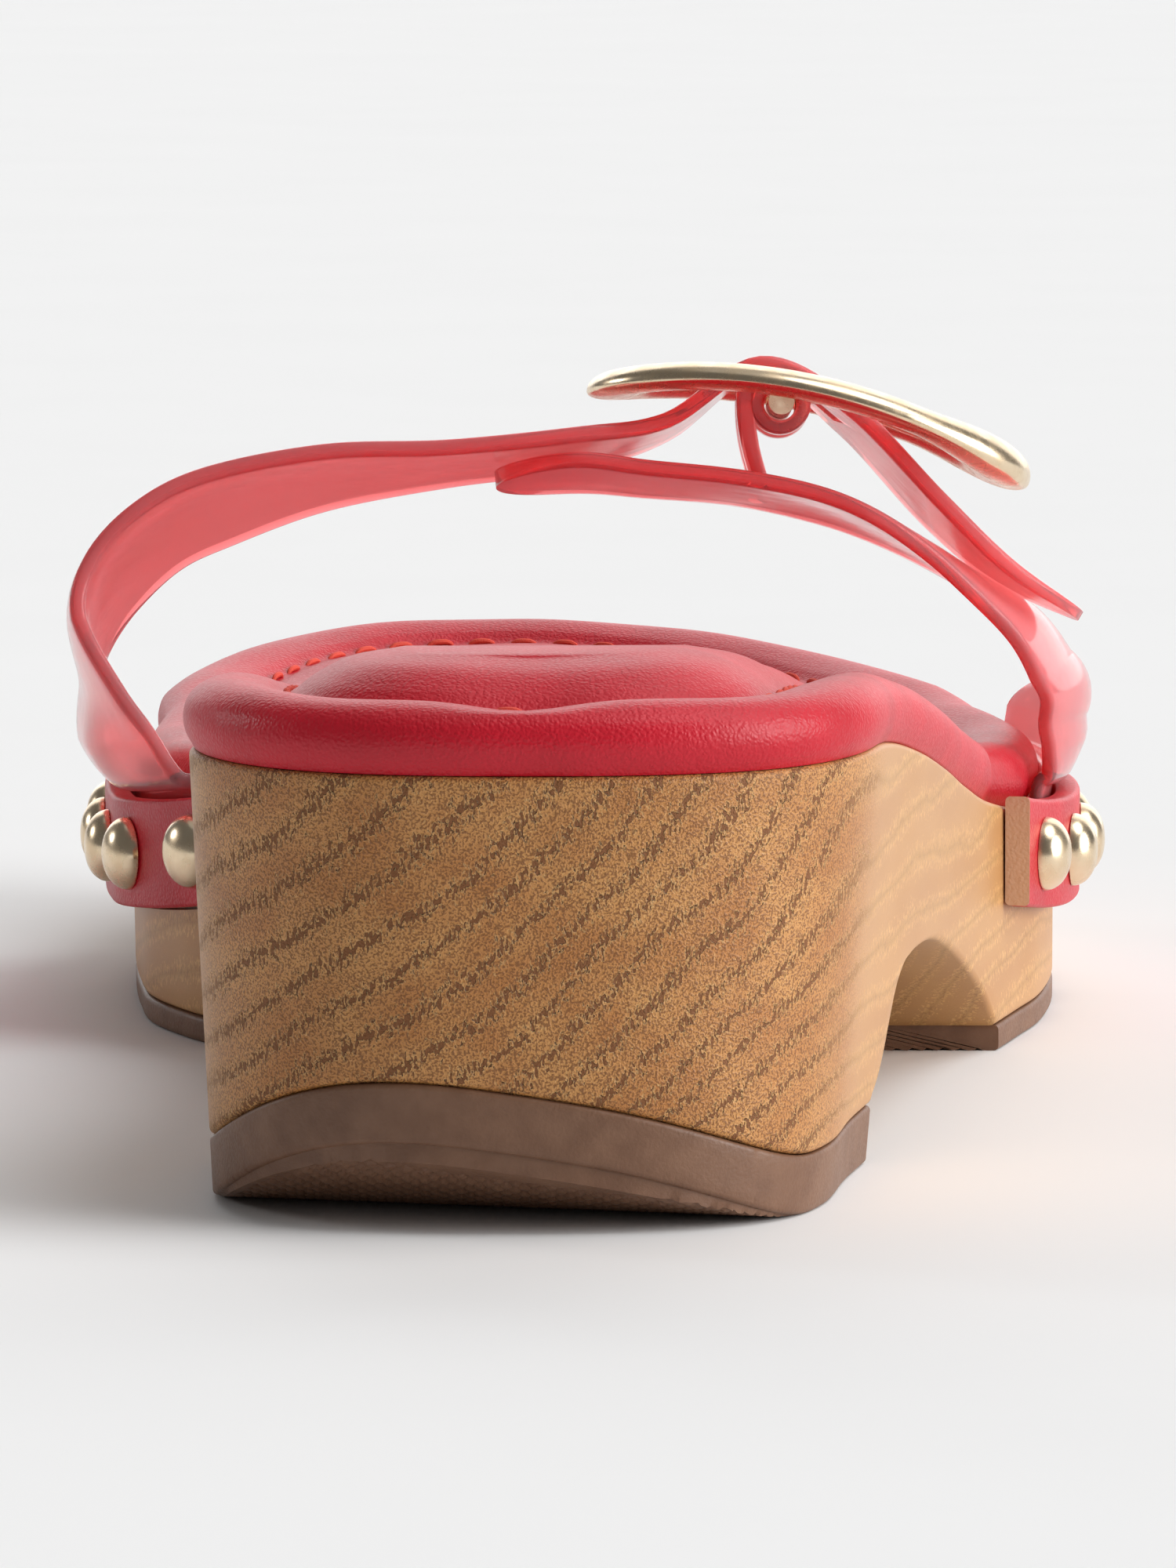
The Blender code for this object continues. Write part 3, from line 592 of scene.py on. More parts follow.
def wood_finish():
    """Tan wood: rows of pressed pores with painted highlights on their rims, fine speckle, slow changes of
    tone, and paler sides as a painted sheen.
    """
    made, tree, shader = new_finish("wood_grain")
    place = millimetres(tree)
    away, from_heel = grain_rows(tree, place)
    strokes = noise(tree, place, 1.0, 1.0, PORE_SHAPE, PORE_LEAN)
    edge = sums(tree, "SUBTRACT", strokes, sums(tree, "MULTIPLY_ADD", away, PORE_RISE, PORE_FROM))
    pores, rim_highlights = between(tree, edge, 0.0, PORE_SOFT), between(tree, edge, -RIM_HIGHLIGHT_SOFT, 0.0)
    on_back = between(tree, from_heel, BACK_ENDS, SIDE_STARTS, 1.0, SIDE_PORES)
    speckle = noise(tree, place, SPECKS_PER_MM, 2.0)
    specks = sums(tree, "MULTIPLY", between(tree, speckle, *SPECK_RANGE), on_back)
    tone = between(tree, noise(tree, place, TONES_PER_MM, 3.0, TONE_STRETCH), *TONE_RANGE)
    on_side = sums(tree, "SUBTRACT", 1.0, on_back)

    ground = blend(tree, tone, WOOD_PALE, WOOD_WARM)
    # Painted sheen: the sides are painted paler.
    ground = blend(tree, sums(tree, "MULTIPLY", on_side, SIDE_SHEEN_SHARE), ground, WOOD_SHEEN_SIDE)
    ground = blend(tree, sums(tree, "MULTIPLY", specks, SPECK_SHARE), ground, WOOD_SPECK)
    # Painted highlight: a pale rim round each pore.
    ground = blend(tree, sums(tree, "MULTIPLY", rim_highlights, RIM_HIGHLIGHT_SHARE), ground, WOOD_HIGHLIGHT_RIM)
    lines = sums(tree, "MULTIPLY", between(tree, away, 0.0, LINE_WIDE, LINE_SHARE, 0.0), on_side)
    ground = blend(tree, lines, ground, WOOD_SPECK)
    dark = sums(tree, "MULTIPLY", pores, on_back)
    colour = blend(tree, sums(tree, "MULTIPLY", dark, PORE_SHARE), ground, WOOD_PORE)
    relief = bump(tree, sums(tree, "SUBTRACT", 1.0, dark), PORE_DEPTH)
    relief = bump(tree, sums(tree, "MULTIPLY", speckle, on_back), SPECK_DEPTH, relief)
    roughness = between(tree, dark, 0.0, 1.0, *WOOD_ROUGH)
    connect(tree, shader, Base_Color=colour, Normal=relief, Roughness=roughness)
    shader.inputs["Specular IOR Level"].default_value = 0.45
    return made


WOOD = wood_finish()
print("wood:", len(WOOD.node_tree.nodes), "nodes")

# %% [markdown]
# The outsoles are taupe moulded rubber with a fine matte texture. Rubber is dull but not flat: one even
# colour would look like paint, while a slight mottle and a pebbled bump make it look moulded.

# %% Rubber
RUBBER_BROWN, RUBBER_TAUPE = (0.16, 0.074, 0.038), (0.21, 0.105, 0.058)
RUBBER_ROUGH, RUBBER_PEBBLE = (0.42, 0.56), 0.045
RUBBER_MOTTLES_PER_MM, RUBBER_PEBBLES_PER_MM = 0.35, 3.0


def rubber_finish():
    """Matte taupe rubber with a fine pebble."""
    made, tree, shader = new_finish("taupe_rubber")
    place = millimetres(tree)
    mottle = between(tree, noise(tree, place, RUBBER_MOTTLES_PER_MM, 3.0), *NOISE_RANGE)
    pebble = noise(tree, place, RUBBER_PEBBLES_PER_MM, 2.0)
    connect(
        tree, shader, Base_Color=blend(tree, mottle, RUBBER_BROWN, RUBBER_TAUPE),
        Normal=bump(tree, pebble, RUBBER_PEBBLE),
        Roughness=between(tree, pebble, *NOISE_RANGE, *RUBBER_ROUGH),
    )
    shader.inputs["Specular IOR Level"].default_value = 0.5
    return made


RUBBER = rubber_finish()
print("rubber:", len(RUBBER.node_tree.nodes), "nodes")

# %% [markdown]
# The footbed and the bands are red leather with a fine pebble, about half a millimetre across. Noise
# alone would look like sand. A smooth cell pattern has the closed bumps of hide, and is bent a little
# by noise so that no two pebbles are alike. Where a band is cut, its raw tan edge shows: the band's
# mesh carries a mark for that, and the colour reads it.

# %% Leather
LEATHER_RED, LEATHER_DEEP = (0.58, 0.007, 0.023), (0.48, 0.005, 0.017)
LEATHER_RAW = (0.72, 0.46, 0.31)
LEATHER_ROUGH = (0.32, 0.45)
PEBBLES_PER_MM, PEBBLE_DEEP, PEBBLE_SMOOTH, PEBBLE_RANGE = 2.7, 0.06, 0.35, (0.0, 0.6)
BENDS_PER_MM, PEBBLE_BEND = 1.2, 0.55
HAIRS_PER_MM, HAIR_DEEP, SHADES_PER_MM = 5.0, 0.008, 0.12
CUT_MARK = "cut_edge"


def leather_finish():
    """Semi-gloss red leather: pebbles from a bent cell pattern, and the raw colour on marked cut edges."""
    made, tree, shader = new_finish("red_leather")
    place = millimetres(tree)
    inputs = {"Vector": place, "Scale": BENDS_PER_MM, "Detail": 2.0}
    bend = node(tree, "ShaderNodeTexNoise", inputs).outputs["Color"]
    inputs = {0: bend, 1: (PEBBLE_BEND,) * 3, 2: place}
    bent = node(tree, "ShaderNodeVectorMath", inputs, operation="MULTIPLY_ADD").outputs[0]
    inputs = {"Vector": bent, "Scale": PEBBLES_PER_MM, "Smoothness": PEBBLE_SMOOTH}
    pebble = node(tree, "ShaderNodeTexVoronoi", inputs, feature="SMOOTH_F1").outputs["Distance"]
    fine = noise(tree, place, HAIRS_PER_MM, 2.0)
    tone = between(tree, noise(tree, place, SHADES_PER_MM, 2.0), *NOISE_RANGE)
    cut = node(tree, "ShaderNodeAttribute", attribute_name=CUT_MARK).outputs["Fac"]
    colour = blend(tree, cut, blend(tree, tone, LEATHER_RED, LEATHER_DEEP), LEATHER_RAW)
    height = sums(tree, "SUBTRACT", 1.0, pebble)
    relief = bump(tree, fine, HAIR_DEEP, bump(tree, height, PEBBLE_DEEP))
    roughness = between(tree, pebble, *PEBBLE_RANGE, *LEATHER_ROUGH)
    connect(tree, shader, Base_Color=colour, Normal=relief, Roughness=roughness)
    shader.inputs["Specular IOR Level"].default_value = 0.4
    return made


LEATHER = leather_finish()
print("leather:", len(LEATHER.node_tree.nodes), "nodes")

# %% [markdown]
# Jelly is soft clear vinyl with red dye. Across its thickness it looks pink, and along its edges, where
# light goes a long way through it, deep red. A volume that absorbs green and blue does that by itself,
# so most of the colour is in the volume, under a slightly frosted skin that is tinted a little. Light
# that bends far at a round rim finds nothing bright behind it and leaves the rim grey. So the inside
# has a low index, and a thin clear coat with the index of real vinyl gives the gloss.

# %% Jelly
JELLY_TINT = (1.0, 0.50, 0.53)
JELLY_DYE = (0.985, 0.34, 0.28)
JELLY_DENSITY = 380.0
JELLY_ROUGH, JELLY_CLOUDS_PER_MM = (0.1, 0.16), 0.5
JELLY_RIPPLE, JELLY_RIPPLES_PER_MM = 0.03, 0.22


def jelly_finish():
    """Dyed clear vinyl: a glossy, slightly uneven skin round an absorbing volume."""
    made, tree, shader = new_finish("red_jelly")
    place = millimetres(tree)
    ripple = noise(tree, place, JELLY_RIPPLES_PER_MM, 2.0)
    clouds = noise(tree, place, JELLY_CLOUDS_PER_MM, 2.0)
    connect(
        tree, shader, Normal=bump(tree, ripple, JELLY_RIPPLE),
        Roughness=between(tree, clouds, *NOISE_RANGE, *JELLY_ROUGH),
    )
    shader.inputs["Base Color"].default_value = (*JELLY_TINT, 1.0)
    shader.inputs["Transmission Weight"].default_value = 0.74
    shader.inputs["IOR"].default_value = 1.15
    shader.inputs["Coat Weight"].default_value = 0.2
    shader.inputs["Coat Roughness"].default_value = 0.12
    shader.inputs["Coat IOR"].default_value = 1.5
    inputs = {"Color": (*JELLY_DYE, 1.0), "Density": JELLY_DENSITY}
    dye = node(tree, "ShaderNodeVolumeAbsorption", inputs)
    tree.links.new(dye.outputs[0], tree.nodes["Material Output"].inputs["Volume"])
    return made


JELLY = jelly_finish()
print("jelly:", len(JELLY.node_tree.nodes), "nodes")

# %% [markdown]
# The buckle and nail heads are pale gold plating: a metal with a warm, light colour, polished but not a
# mirror. A mirror would need a whole room to reflect, and a slight wear in the gloss does without. The
# thread is a matte orange red, with fibres as fine noise.

# %% Gold and thread
GOLD_LIGHT, GOLD_DEEP = (0.88, 0.72, 0.51), (0.80, 0.62, 0.41)
GOLD_ROUGH, GOLD_WEAR_PER_MM = (0.2, 0.32), 0.6
GOLD_DENTS_PER_MM, GOLD_DENT = 2.0, 0.004
THREAD_RED, THREAD_DARK = (0.80, 0.09, 0.05), (0.64, 0.05, 0.03)
FIBRES_PER_MM, FIBRE_DEEP = 6.0, 0.06


def gold_finish():
    """Polished pale gold with slight wear in its gloss."""
    made, tree, shader = new_finish("pale_gold")
    place = millimetres(tree)
    wear = between(tree, noise(tree, place, GOLD_WEAR_PER_MM, 3.0), *NOISE_RANGE)
    connect(
        tree, shader, Base_Color=blend(tree, wear, GOLD_LIGHT, GOLD_DEEP),
        Roughness=between(tree, wear, 0.0, 1.0, *GOLD_ROUGH),
        Normal=bump(tree, noise(tree, place, GOLD_DENTS_PER_MM), GOLD_DENT),
    )
    shader.inputs["Metallic"].default_value = 1.0
    return made


def thread_finish():
    """Matte sewing thread with its fibres showing as fine noise."""
    made, tree, shader = new_finish("sewing_thread")
    fibre = noise(tree, millimetres(tree), FIBRES_PER_MM, 2.0)
    colour = blend(tree, fibre, THREAD_RED, THREAD_DARK)
    connect(tree, shader, Base_Color=colour, Normal=bump(tree, fibre, FIBRE_DEEP))
    shader.inputs["Roughness"].default_value = 0.75
    return made


GOLD, THREAD = gold_finish(), thread_finish()
print("gold and thread ready")

# %% [markdown]
# Now the pieces, from the floor up. The two outsoles have a diamond tread: two families of slanted
# grooves, pressed into the underside, with a plain lip left along the edge. The heel's back curls up,
# so the tread shows there. A bump in the material would look flat from the side, so the grid is made
# finer than the grooves and really dips into them.

# %% Outsoles
TREAD_PITCH, TREAD_DEPTH, TREAD_LIP = 1.3, 0.3, 1.4
SOLE_CORNER = 0.5
GROOVE_FROM, GROOVE_WALL, LIP_FADE = 0.55, 0.3, 0.6
SLANT_ACROSS, SLANT_ALONG = 0.8, 0.6
HEEL_STEP, FOREFOOT_STEP = 0.3, 0.7
HEEL_ACROSS, FOREFOOT_ACROSS = 210, 150


def inside(along, across):
    """Distance in from the sole's outline, to the nearer side or end."""
    medial, lateral = section("medial", along), section("lateral", along)
    sideways = (lateral - medial) / 2 * drawn_in(along) - np.abs(across - (medial + lateral) / 2)
    return np.minimum(sideways, np.minimum(along, LENGTH - along))


def groove(place):
    """1 in a groove and 0 on a block: a steep wave of the given pitch."""
    wave = np.abs((place / TREAD_PITCH) % 1.0 - 0.5) * 2
    return np.clip((wave - GROOVE_FROM) / GROOVE_WALL, 0, 1)


def tread(along, across):
    """Floor line with diamond blocks: the deeper of two slanted grooves, faded out at the lip."""
    sideways, lengthways = SLANT_ACROSS * across, SLANT_ALONG * along
    lattice = np.maximum(groove(sideways + lengthways), groove(sideways - lengthways))
    draft_in = side_draft(along, across) * section("top", along)
    room = np.clip((inside(along, across) - draft_in - TREAD_LIP) / LIP_FADE, 0, 1)
    return floor_line(along, across) + TREAD_DEPTH * lattice * room


def make_outsole(name, start, end, thick, step, across, node_name):
    """Rubber layer that follows the floor line, with the tread pressed into its underside.

    A step as long as the shoe leaves out the waist's own stations: close, even ones take their place.
    """
    along = stations(start, end, LENGTH, np.arange(start, end, step))
    upper_side = lambda y, x: floor_line(y, x) + thick
    show(name, layer(name, along, tread, upper_side, SOLE_CORNER, across), RUBBER, "rubber", node_name)


make_outsole("heel_rubber", 0.0, HEEL_LIFT_FRONT, HEEL_LIFT_THICK, HEEL_STEP, HEEL_ACROSS, "heel_outsole")
make_outsole(
    "forefoot_rubber", FOREFOOT_SOLE_REAR, LENGTH, FOREFOOT_SOLE_THICK, FOREFOOT_STEP, FOREFOOT_ACROSS,
    "forefoot_outsole",
)

# %% [markdown]
# The platform is the same kind of loft, with the arch notch in its underside. A Boolean could cut the
# notch out, but a loft keeps even quads round it, so its corner stays round and shades cleanly. The
# upper edge steps in where the strap's ends are nailed on, and the bands cover that step.

# %% Platform
WOOD_CORNER = 0.7
WOOD_STEP = 1.2
STEP_WALL = 0.02
NOTCH_STATIONS = 90


def make_platform():
    """Wood platform over the whole outline, with extra stations at the notch and at the strap's rebates."""
    rebate = [end + shift for ends in REBATE_ENDS for end in ends for shift in (-STEP_WALL, STEP_WALL)]
    notch = np.linspace(NOTCH[0, 0], NOTCH[-1, 0], NOTCH_STATIONS)
    along = stations(0.0, LENGTH, WOOD_STEP, np.concatenate([rebate, notch]))
    mesh = layer("platform_wood", along, platform_under, platform_top, WOOD_CORNER, rebated=True)
    show("platform_wood", mesh, WOOD, "wood", "platform")


make_platform()

# %% [markdown]
# The footbed is leather drawn over foam. A roll runs round its edge, then a sewn groove, then a pad
# that swells under the heel. The table below gives that section, from the edge inwards: inset, height,
# and swell under the heel. It follows the platform's outline, drawn in a little where the strap passes.
# A pad could be sculpted freely, but a section in numbers can be set against the solid's.

# %% Section of the footbed
RIM = np.array([
    (1.0, 0.0, 0.0),
    (0.2, 1.5, 0.0),
    (0.0, 3.1, 0.0),
    (0.6, 4.8, 0.0),
    (2.2, 6.0, 0.0),
    (4.6, 6.3, 0.0),
    (7.4, 5.7, 0.0),
    (9.4, 4.7, 0.0),
    (11.8, 5.1, 1.3),
    (15.2, 5.4, 2.7),
    (20.0, 5.5, 3.4),
])
PAD_HEEL_END, PAD_FADE_END = 60.0, 115.0
FOOTBED_OVERHANG, FOOTBED_WAIST_IN = 0.5, 2.1
FOOTBED_WAIST = (114.0, 126.0, 190.0, 204.0)


def footbed_edge(along, inset):
    """Medial and lateral line at an inset from the footbed's own edge, which draws in under the strap."""
    overhang = FOOTBED_OVERHANG - FOOTBED_WAIST_IN * np.interp(along, FOOTBED_WAIST, (0, 1, 1, 0))
    return edges(along, overhang - inset)


def ease(share):
    """Smooth step: goes from 0 to 1 as the share does, and is level at both ends."""
    return share * share * (3 - 2 * share)


def heel_fade(along):
    """1 under the heel, fading smoothly to 0 at the waist."""
    return ease(np.clip((PAD_FADE_END - along) / (PAD_FADE_END - PAD_HEEL_END), 0, 1))


print("footbed is", RIM[:, 1].max(), "mm thick, and", RIM[-1, 1:].sum(), "mm over the heel's pad")

# %% [markdown]
# A cloth simulation under pressure would round the pad by itself, but it would blow the sewn groove out
# too. So the section is carried round as it is drawn, and the soft faults of a real one are added one by
# one: a pucker in the roll where the seam starts behind the heel, and a slow unevenness over the pad.

# %% Footbed
PUCKER_ACROSS, PUCKER_WIDE, PUCKER_ALONG, PUCKER_DEEP = -6.1, 5.5, 13.0, 0.9
WAVE_DEEP, WAVE_ONE, WAVE_TWO, WAVE_SHIFT = 0.16, (0.21, 0.13), (-0.12, 0.17), 1.3
ROLL_FROM, ROLL_FADE = 1.2, 2.5
FOOTBED_STEP, RIM_POINTS, PAD_POINTS, UNDER_SPARSE = 1.1, 64, 26, 6


def soften(points, inset):
    """Faults of soft leather: a pucker behind the heel and a slow wave, both fading at the lower edge."""
    x, y = points[..., 0], points[..., 1]
    pucker = np.exp(-((x - PUCKER_ACROSS) / PUCKER_WIDE) ** 2 - (np.clip(y, 0, None) / PUCKER_ALONG) ** 2)
    on_roll = np.clip((inset - ROLL_FROM) / ROLL_FADE, 0, 1)
    wave = np.sin(WAVE_ONE[0] * x + WAVE_ONE[1] * y)
    wave = wave * np.sin(WAVE_TWO[0] * x + WAVE_TWO[1] * y + WAVE_SHIFT)
    points[..., 2] += (WAVE_DEEP * wave - PUCKER_DEEP * pucker) * on_roll
    return points


def make_footbed():
    """Loft whose loops go from one lower edge over the roll, groove and pad to the other lower edge."""
    along = stations(0.0, LENGTH, FOOTBED_STEP)
    at = np.linspace(0, len(RIM) - 1, RIM_POINTS)
    inset, height, swell = (smooth(np.arange(len(RIM), dtype=float), RIM[:, i], at) for i in range(3))
    sides = ([], [])
    for one_inset, one_height, one_swell in zip(inset, height, swell):
        for side, edge in zip(sides, footbed_edge(along, one_inset)):
            z = section("top", edge[:, 1]) + GLUE_LINE + one_height + one_swell * heel_fade(along)
            side.append(np.column_stack([edge, z]))
    medial, lateral = (np.stack(side, axis=1) for side in sides)
    for points in (medial, lateral):
        soften(points, inset[None, :])
    share = np.linspace(0, 1, PAD_POINTS)[None, 1:-1, None]
    pad = medial[:, -1:] * (1 - share) + lateral[:, -1:] * share
    sparse = share[:, ::UNDER_SPARSE]
    under = lateral[:, :1] * (1 - sparse) + medial[:, :1] * sparse
    loops = np.concatenate([medial, pad, lateral[:, ::-1], under], axis=1)
    piece = show("footbed_leather", loft("footbed_leather", loops, sharp=60.0), LEATHER, "leather", "footbed")


make_footbed()

# %% [markdown]
# The seam in the groove is short lengths of thread, each a little tube that dives into the leather at
# both ends. A dashed line in the leather's colour would lie flat, while tubes throw small shadows. All
# of them are one mesh, worked out at once: stitch, place along the stitch, place round it.

# %% Stitches
GROOVE_ROW = 7
STITCH_PITCH, STITCH_LONG, STITCH_RADIUS = 4.6, 3.3, 0.32
STITCH_ARCH, STITCH_DIVE, STITCH_TAPER = 0.28, 0.8, 0.8
STITCH_PLACES, STITCH_SIDES = 8, 8


def tubes(paths, radius, sides):
    """Closed tubes along many paths (tube, place, xyz): circles across each path's own direction."""
    ahead = np.gradient(paths, axis=1)
    ahead /= np.linalg.norm(ahead, axis=2, keepdims=True)
    level = np.cross(ahead, (0.0, 0.0, 1.0))
    level /= np.linalg.norm(level, axis=2, keepdims=True)
    up = np.cross(level, ahead)
    turn = np.linspace(0, 2 * np.pi, sides, endpoint=False)[None, None, :, None]
    ring = np.cos(turn) * level[:, :, None] + np.sin(turn) * up[:, :, None]
    points = paths[:, :, None] + np.reshape(radius, (1, -1, 1, 1)) * ring
    count, rows = paths.shape[:2]
    one = np.concatenate([
        grid_quads(rows, sides, False), ladder_quads(sides, 0), ladder_quads(sides, (rows - 1) * sides),
    ])
    quads = (one[None] + (np.arange(count) * rows * sides)[:, None, None]).reshape(-1, 4)
    return points.reshape(-1, 3), quads


def groove_path():
    """Closed path along the groove, from the back of the heel up the medial side and down the lateral one."""
    along = stations(0.0, LENGTH, FOOTBED_STEP)
    inset, height, swell = RIM[GROOVE_ROW]
    medial, lateral = footbed_edge(along, inset)
    line = np.concatenate([medial, lateral[::-1]])
    fade = np.concatenate([heel_fade(along), heel_fade(along)[::-1]])
    return np.column_stack([line, section("top", line[:, 1]) + GLUE_LINE + (height + swell * fade)])


def make_stitches():
    """Stitches spaced along the groove, each arched in the middle and sunk at its ends."""
    path = groove_path()
    run = np.concatenate([[0.0], np.cumsum(np.linalg.norm(np.diff(path, axis=0), axis=1))])
    starts = np.arange(0.0, run[-1] - STITCH_PITCH, STITCH_PITCH)
    share = np.linspace(0, 1, STITCH_PLACES)
    places = starts[:, None] + STITCH_LONG * share[None, :]
    stitches = np.stack([np.interp(places, run, path[:, i]) for i in range(3)], axis=2)
    stitches[:, :, 2] += STITCH_ARCH - STITCH_DIVE * (2 * share - 1)[None, :] ** 4
    radius = STITCH_RADIUS * np.sqrt(1 - STITCH_TAPER * (2 * share - 1) ** 2)
    points, quads = tubes(stitches, radius, STITCH_SIDES)
    mesh = close_mesh(fill_mesh("footbed_stitches", points, quads))
    show("footbed_stitches", mesh, THREAD, "leather")
    print(len(starts), "stitches")


make_stitches()

# %% [markdown]
# The upper is two jelly straps that cross on the instep. Each strap is a table of sections: where its
# rear edge and its front edge are, and how far it bows out between them. Near the sole the strap
# follows the platform's side instead: there the hug column is 1, and the stand-off and the rise place
# it. A free curve with a bevel would be quicker, but a table keeps the strap's edges where the solid
# has them.

# %% Strap tables
STRAP_COLUMNS = (
    "hug", "stand_off", "rise", "thick",
    "rear_x", "rear_y", "rear_z", "front_x", "front_y", "front_z", "crown",
)
MEDIAL_STRAP = np.array([
    (1.0, -0.85, -9.8, 1.4, -39.0, 125.0, 15.2, -47.0, 186.0, 12.0, 0.0),
    (1.0, -0.85, 1.0, 1.4, -39.0, 125.0, 25.0, -47.0, 186.0, 22.0, 0.0),
    (1.0, 2.0, 2.9, 1.6, -41.0, 125.0, 27.0, -48.5, 185.5, 24.0, 0.4),
    (1.0, 3.8, 6.4, 1.6, -43.2, 125.5, 30.2, -50.5, 184.5, 27.3, 1.1),
    (0.3, 5.0, 10.5, 1.6, -47.0, 127.0, 35.0, -51.5, 182.0, 31.0, 1.3),
    (0.0, 3.0, 12.0, 1.6, -51.0, 130.0, 42.5, -50.4, 177.0, 34.5, 1.5),
    (0.0, 3.0, 12.0, 1.6, -49.8, 132.0, 48.2, -47.3, 172.0, 39.2, 1.8),
    (0.0, 3.0, 12.0, 1.6, -45.2, 133.0, 53.2, -42.5, 167.5, 44.0, 1.6),
    (0.0, 3.0, 12.0, 1.6, -38.4, 134.0, 56.6, -37.0, 164.5, 46.9, 1.2),
    (0.0, 3.0, 12.0, 1.6, -26.5, 134.5, 58.9, -27.0, 161.0, 50.9, 0.8),
    (0.0, 3.0, 12.0, 1.6, -14.0, 135.0, 59.3, -14.5, 158.5, 53.6, 0.4),
    (0.0, 3.0, 12.0, 1.6, -1.0, 135.5, 60.6, -1.0, 157.0, 55.6, 0.0),
    (0.0, 3.0, 12.0, 1.6, 8.0, 138.0, 61.8, 8.0, 155.0, 58.8, 0.0),
    (0.0, 3.0, 12.0, 1.6, 17.4, 137.5, 67.5, 17.4, 155.5, 65.4, 0.0),
    (0.0, 3.0, 12.0, 1.6, 26.5, 137.5, 63.1, 26.0, 155.5, 59.4, 0.0),
    (0.0, 3.0, 12.0, 1.6, 35.6, 137.0, 53.8, 34.8, 156.5, 49.8, 0.0),
    (0.0, 3.0, 12.0, 1.6, 42.6, 138.0, 47.0, 41.8, 156.0, 44.1, 0.0),
    (0.0, 3.0, 12.0, 1.0, 50.4, 139.0, 42.0, 49.8, 155.5, 39.8, 0.0),
])
LATERAL_STRAP = np.array([
    (1.0, -0.85, -9.8, 1.4, 42.0, 144.0, 14.2, 44.0, 190.0, 12.0, 0.0),
    (1.0, -0.85, 1.0, 1.4, 42.0, 144.0, 24.0, 44.0, 190.0, 22.0, 0.0),
    (1.0, 0.4, 3.2, 1.6, 44.0, 143.8, 26.0, 46.5, 189.5, 24.0, 0.9),
    (1.0, 0.4, 6.2, 1.6, 45.6, 143.0, 29.0, 48.0, 188.0, 26.8, 2.4),
    (0.4, 0.3, 9.4, 1.6, 46.3, 141.6, 31.8, 49.4, 185.5, 29.8, 3.1),
    (0.0, 3.0, 12.0, 1.6, 45.3, 139.8, 35.2, 48.0, 181.0, 32.5, 3.0),
    (0.0, 3.0, 12.0, 1.6, 42.9, 137.6, 39.7, 44.8, 175.0, 37.5, 2.4),
    (0.0, 3.0, 12.0, 1.6, 38.4, 135.6, 44.6, 39.5, 169.0, 41.8, 1.2),
    (0.0, 3.0, 12.0, 1.6, 34.0, 134.2, 48.7, 34.0, 163.0, 45.4, 0.8),
    (0.0, 3.0, 12.0, 1.6, 28.8, 133.0, 52.4, 28.5, 160.5, 48.1, 0.5),
    (0.0, 3.0, 12.0, 1.6, 23.0, 133.5, 54.8, 23.0, 159.5, 50.0, 0.3),
    (0.0, 3.0, 12.0, 1.6, 15.0, 134.0, 56.4, 15.0, 159.0, 51.8, 0.0),
    (0.0, 3.0, 12.0, 1.6, 6.0, 134.5, 57.3, 6.0, 158.5, 52.6, 0.0),
    (0.0, 3.0, 12.0, 1.6, -1.0, 135.0, 58.1, -1.0, 158.0, 53.1, 0.0),
    (0.0, 3.0, 12.0, 1.6, -9.4, 135.5, 57.5, -9.4, 157.5, 52.2, 0.0),
])
print("straps have", len(MEDIAL_STRAP), "and", len(LATERAL_STRAP), "sections")

# %% [markdown]
# A strap's surface is a grid: sections along it, and places across each section. Its wall is that grid
# moved out and in along its own normals. Solidify would do the same, but would leave square edges, and
# cast vinyl has round ones: so the places across are bunched at both edges, where the wall closes in a
# quarter circle on each side.

# %% Strap surfaces
STRAP_ROWS_BETWEEN = 9
STRAP_ACROSS = 22
STRAP_REACH, STRAP_REACH_POINTS = (110.0, 205.0), 120
STRAP_EDGE, STRAP_EDGE_SHARE, STRAP_EDGE_POINTS = 0.65, 0.48, 6
TIP_ROUND, TIP_CLOSED, TIP_ROWS, TIP_SPACING = 0.09, 0.997, 12, (0.004, 0.9)


def strap_section(width, thick):
    """Shares across the strap and lifts from its middle: a flat wall that closes in quarter circles."""
    turn = np.linspace(0, np.pi / 2, STRAP_EDGE_POINTS)[None, :]
    radius = np.minimum(STRAP_EDGE, STRAP_EDGE_SHARE * thick)
    edge = radius * (1 - np.cos(turn)) / width
    lift = (thick / 2 - radius) + radius * np.sin(turn)
    flat = np.linspace(0, 1, STRAP_ACROSS)[None, 1:-1] * (1 - 2 * edge[:, -1:]) + edge[:, -1:]
    shares = np.concatenate([edge, flat, 1 - edge[:, ::-1]], axis=1)
    lifts = np.concatenate([lift, np.repeat(lift[:, -1:], flat.shape[1], axis=1), lift[:, ::-1]], axis=1)
    return shares, lifts


def strap_normal(surface, side):
    """Unit normals of a grid, out of the foot: the cross product of its two slopes."""
    normal = np.cross(np.gradient(surface, axis=0), np.gradient(surface, axis=1))
    return normal * (1 - 2 * side) / np.linalg.norm(normal, axis=2, keepdims=True)


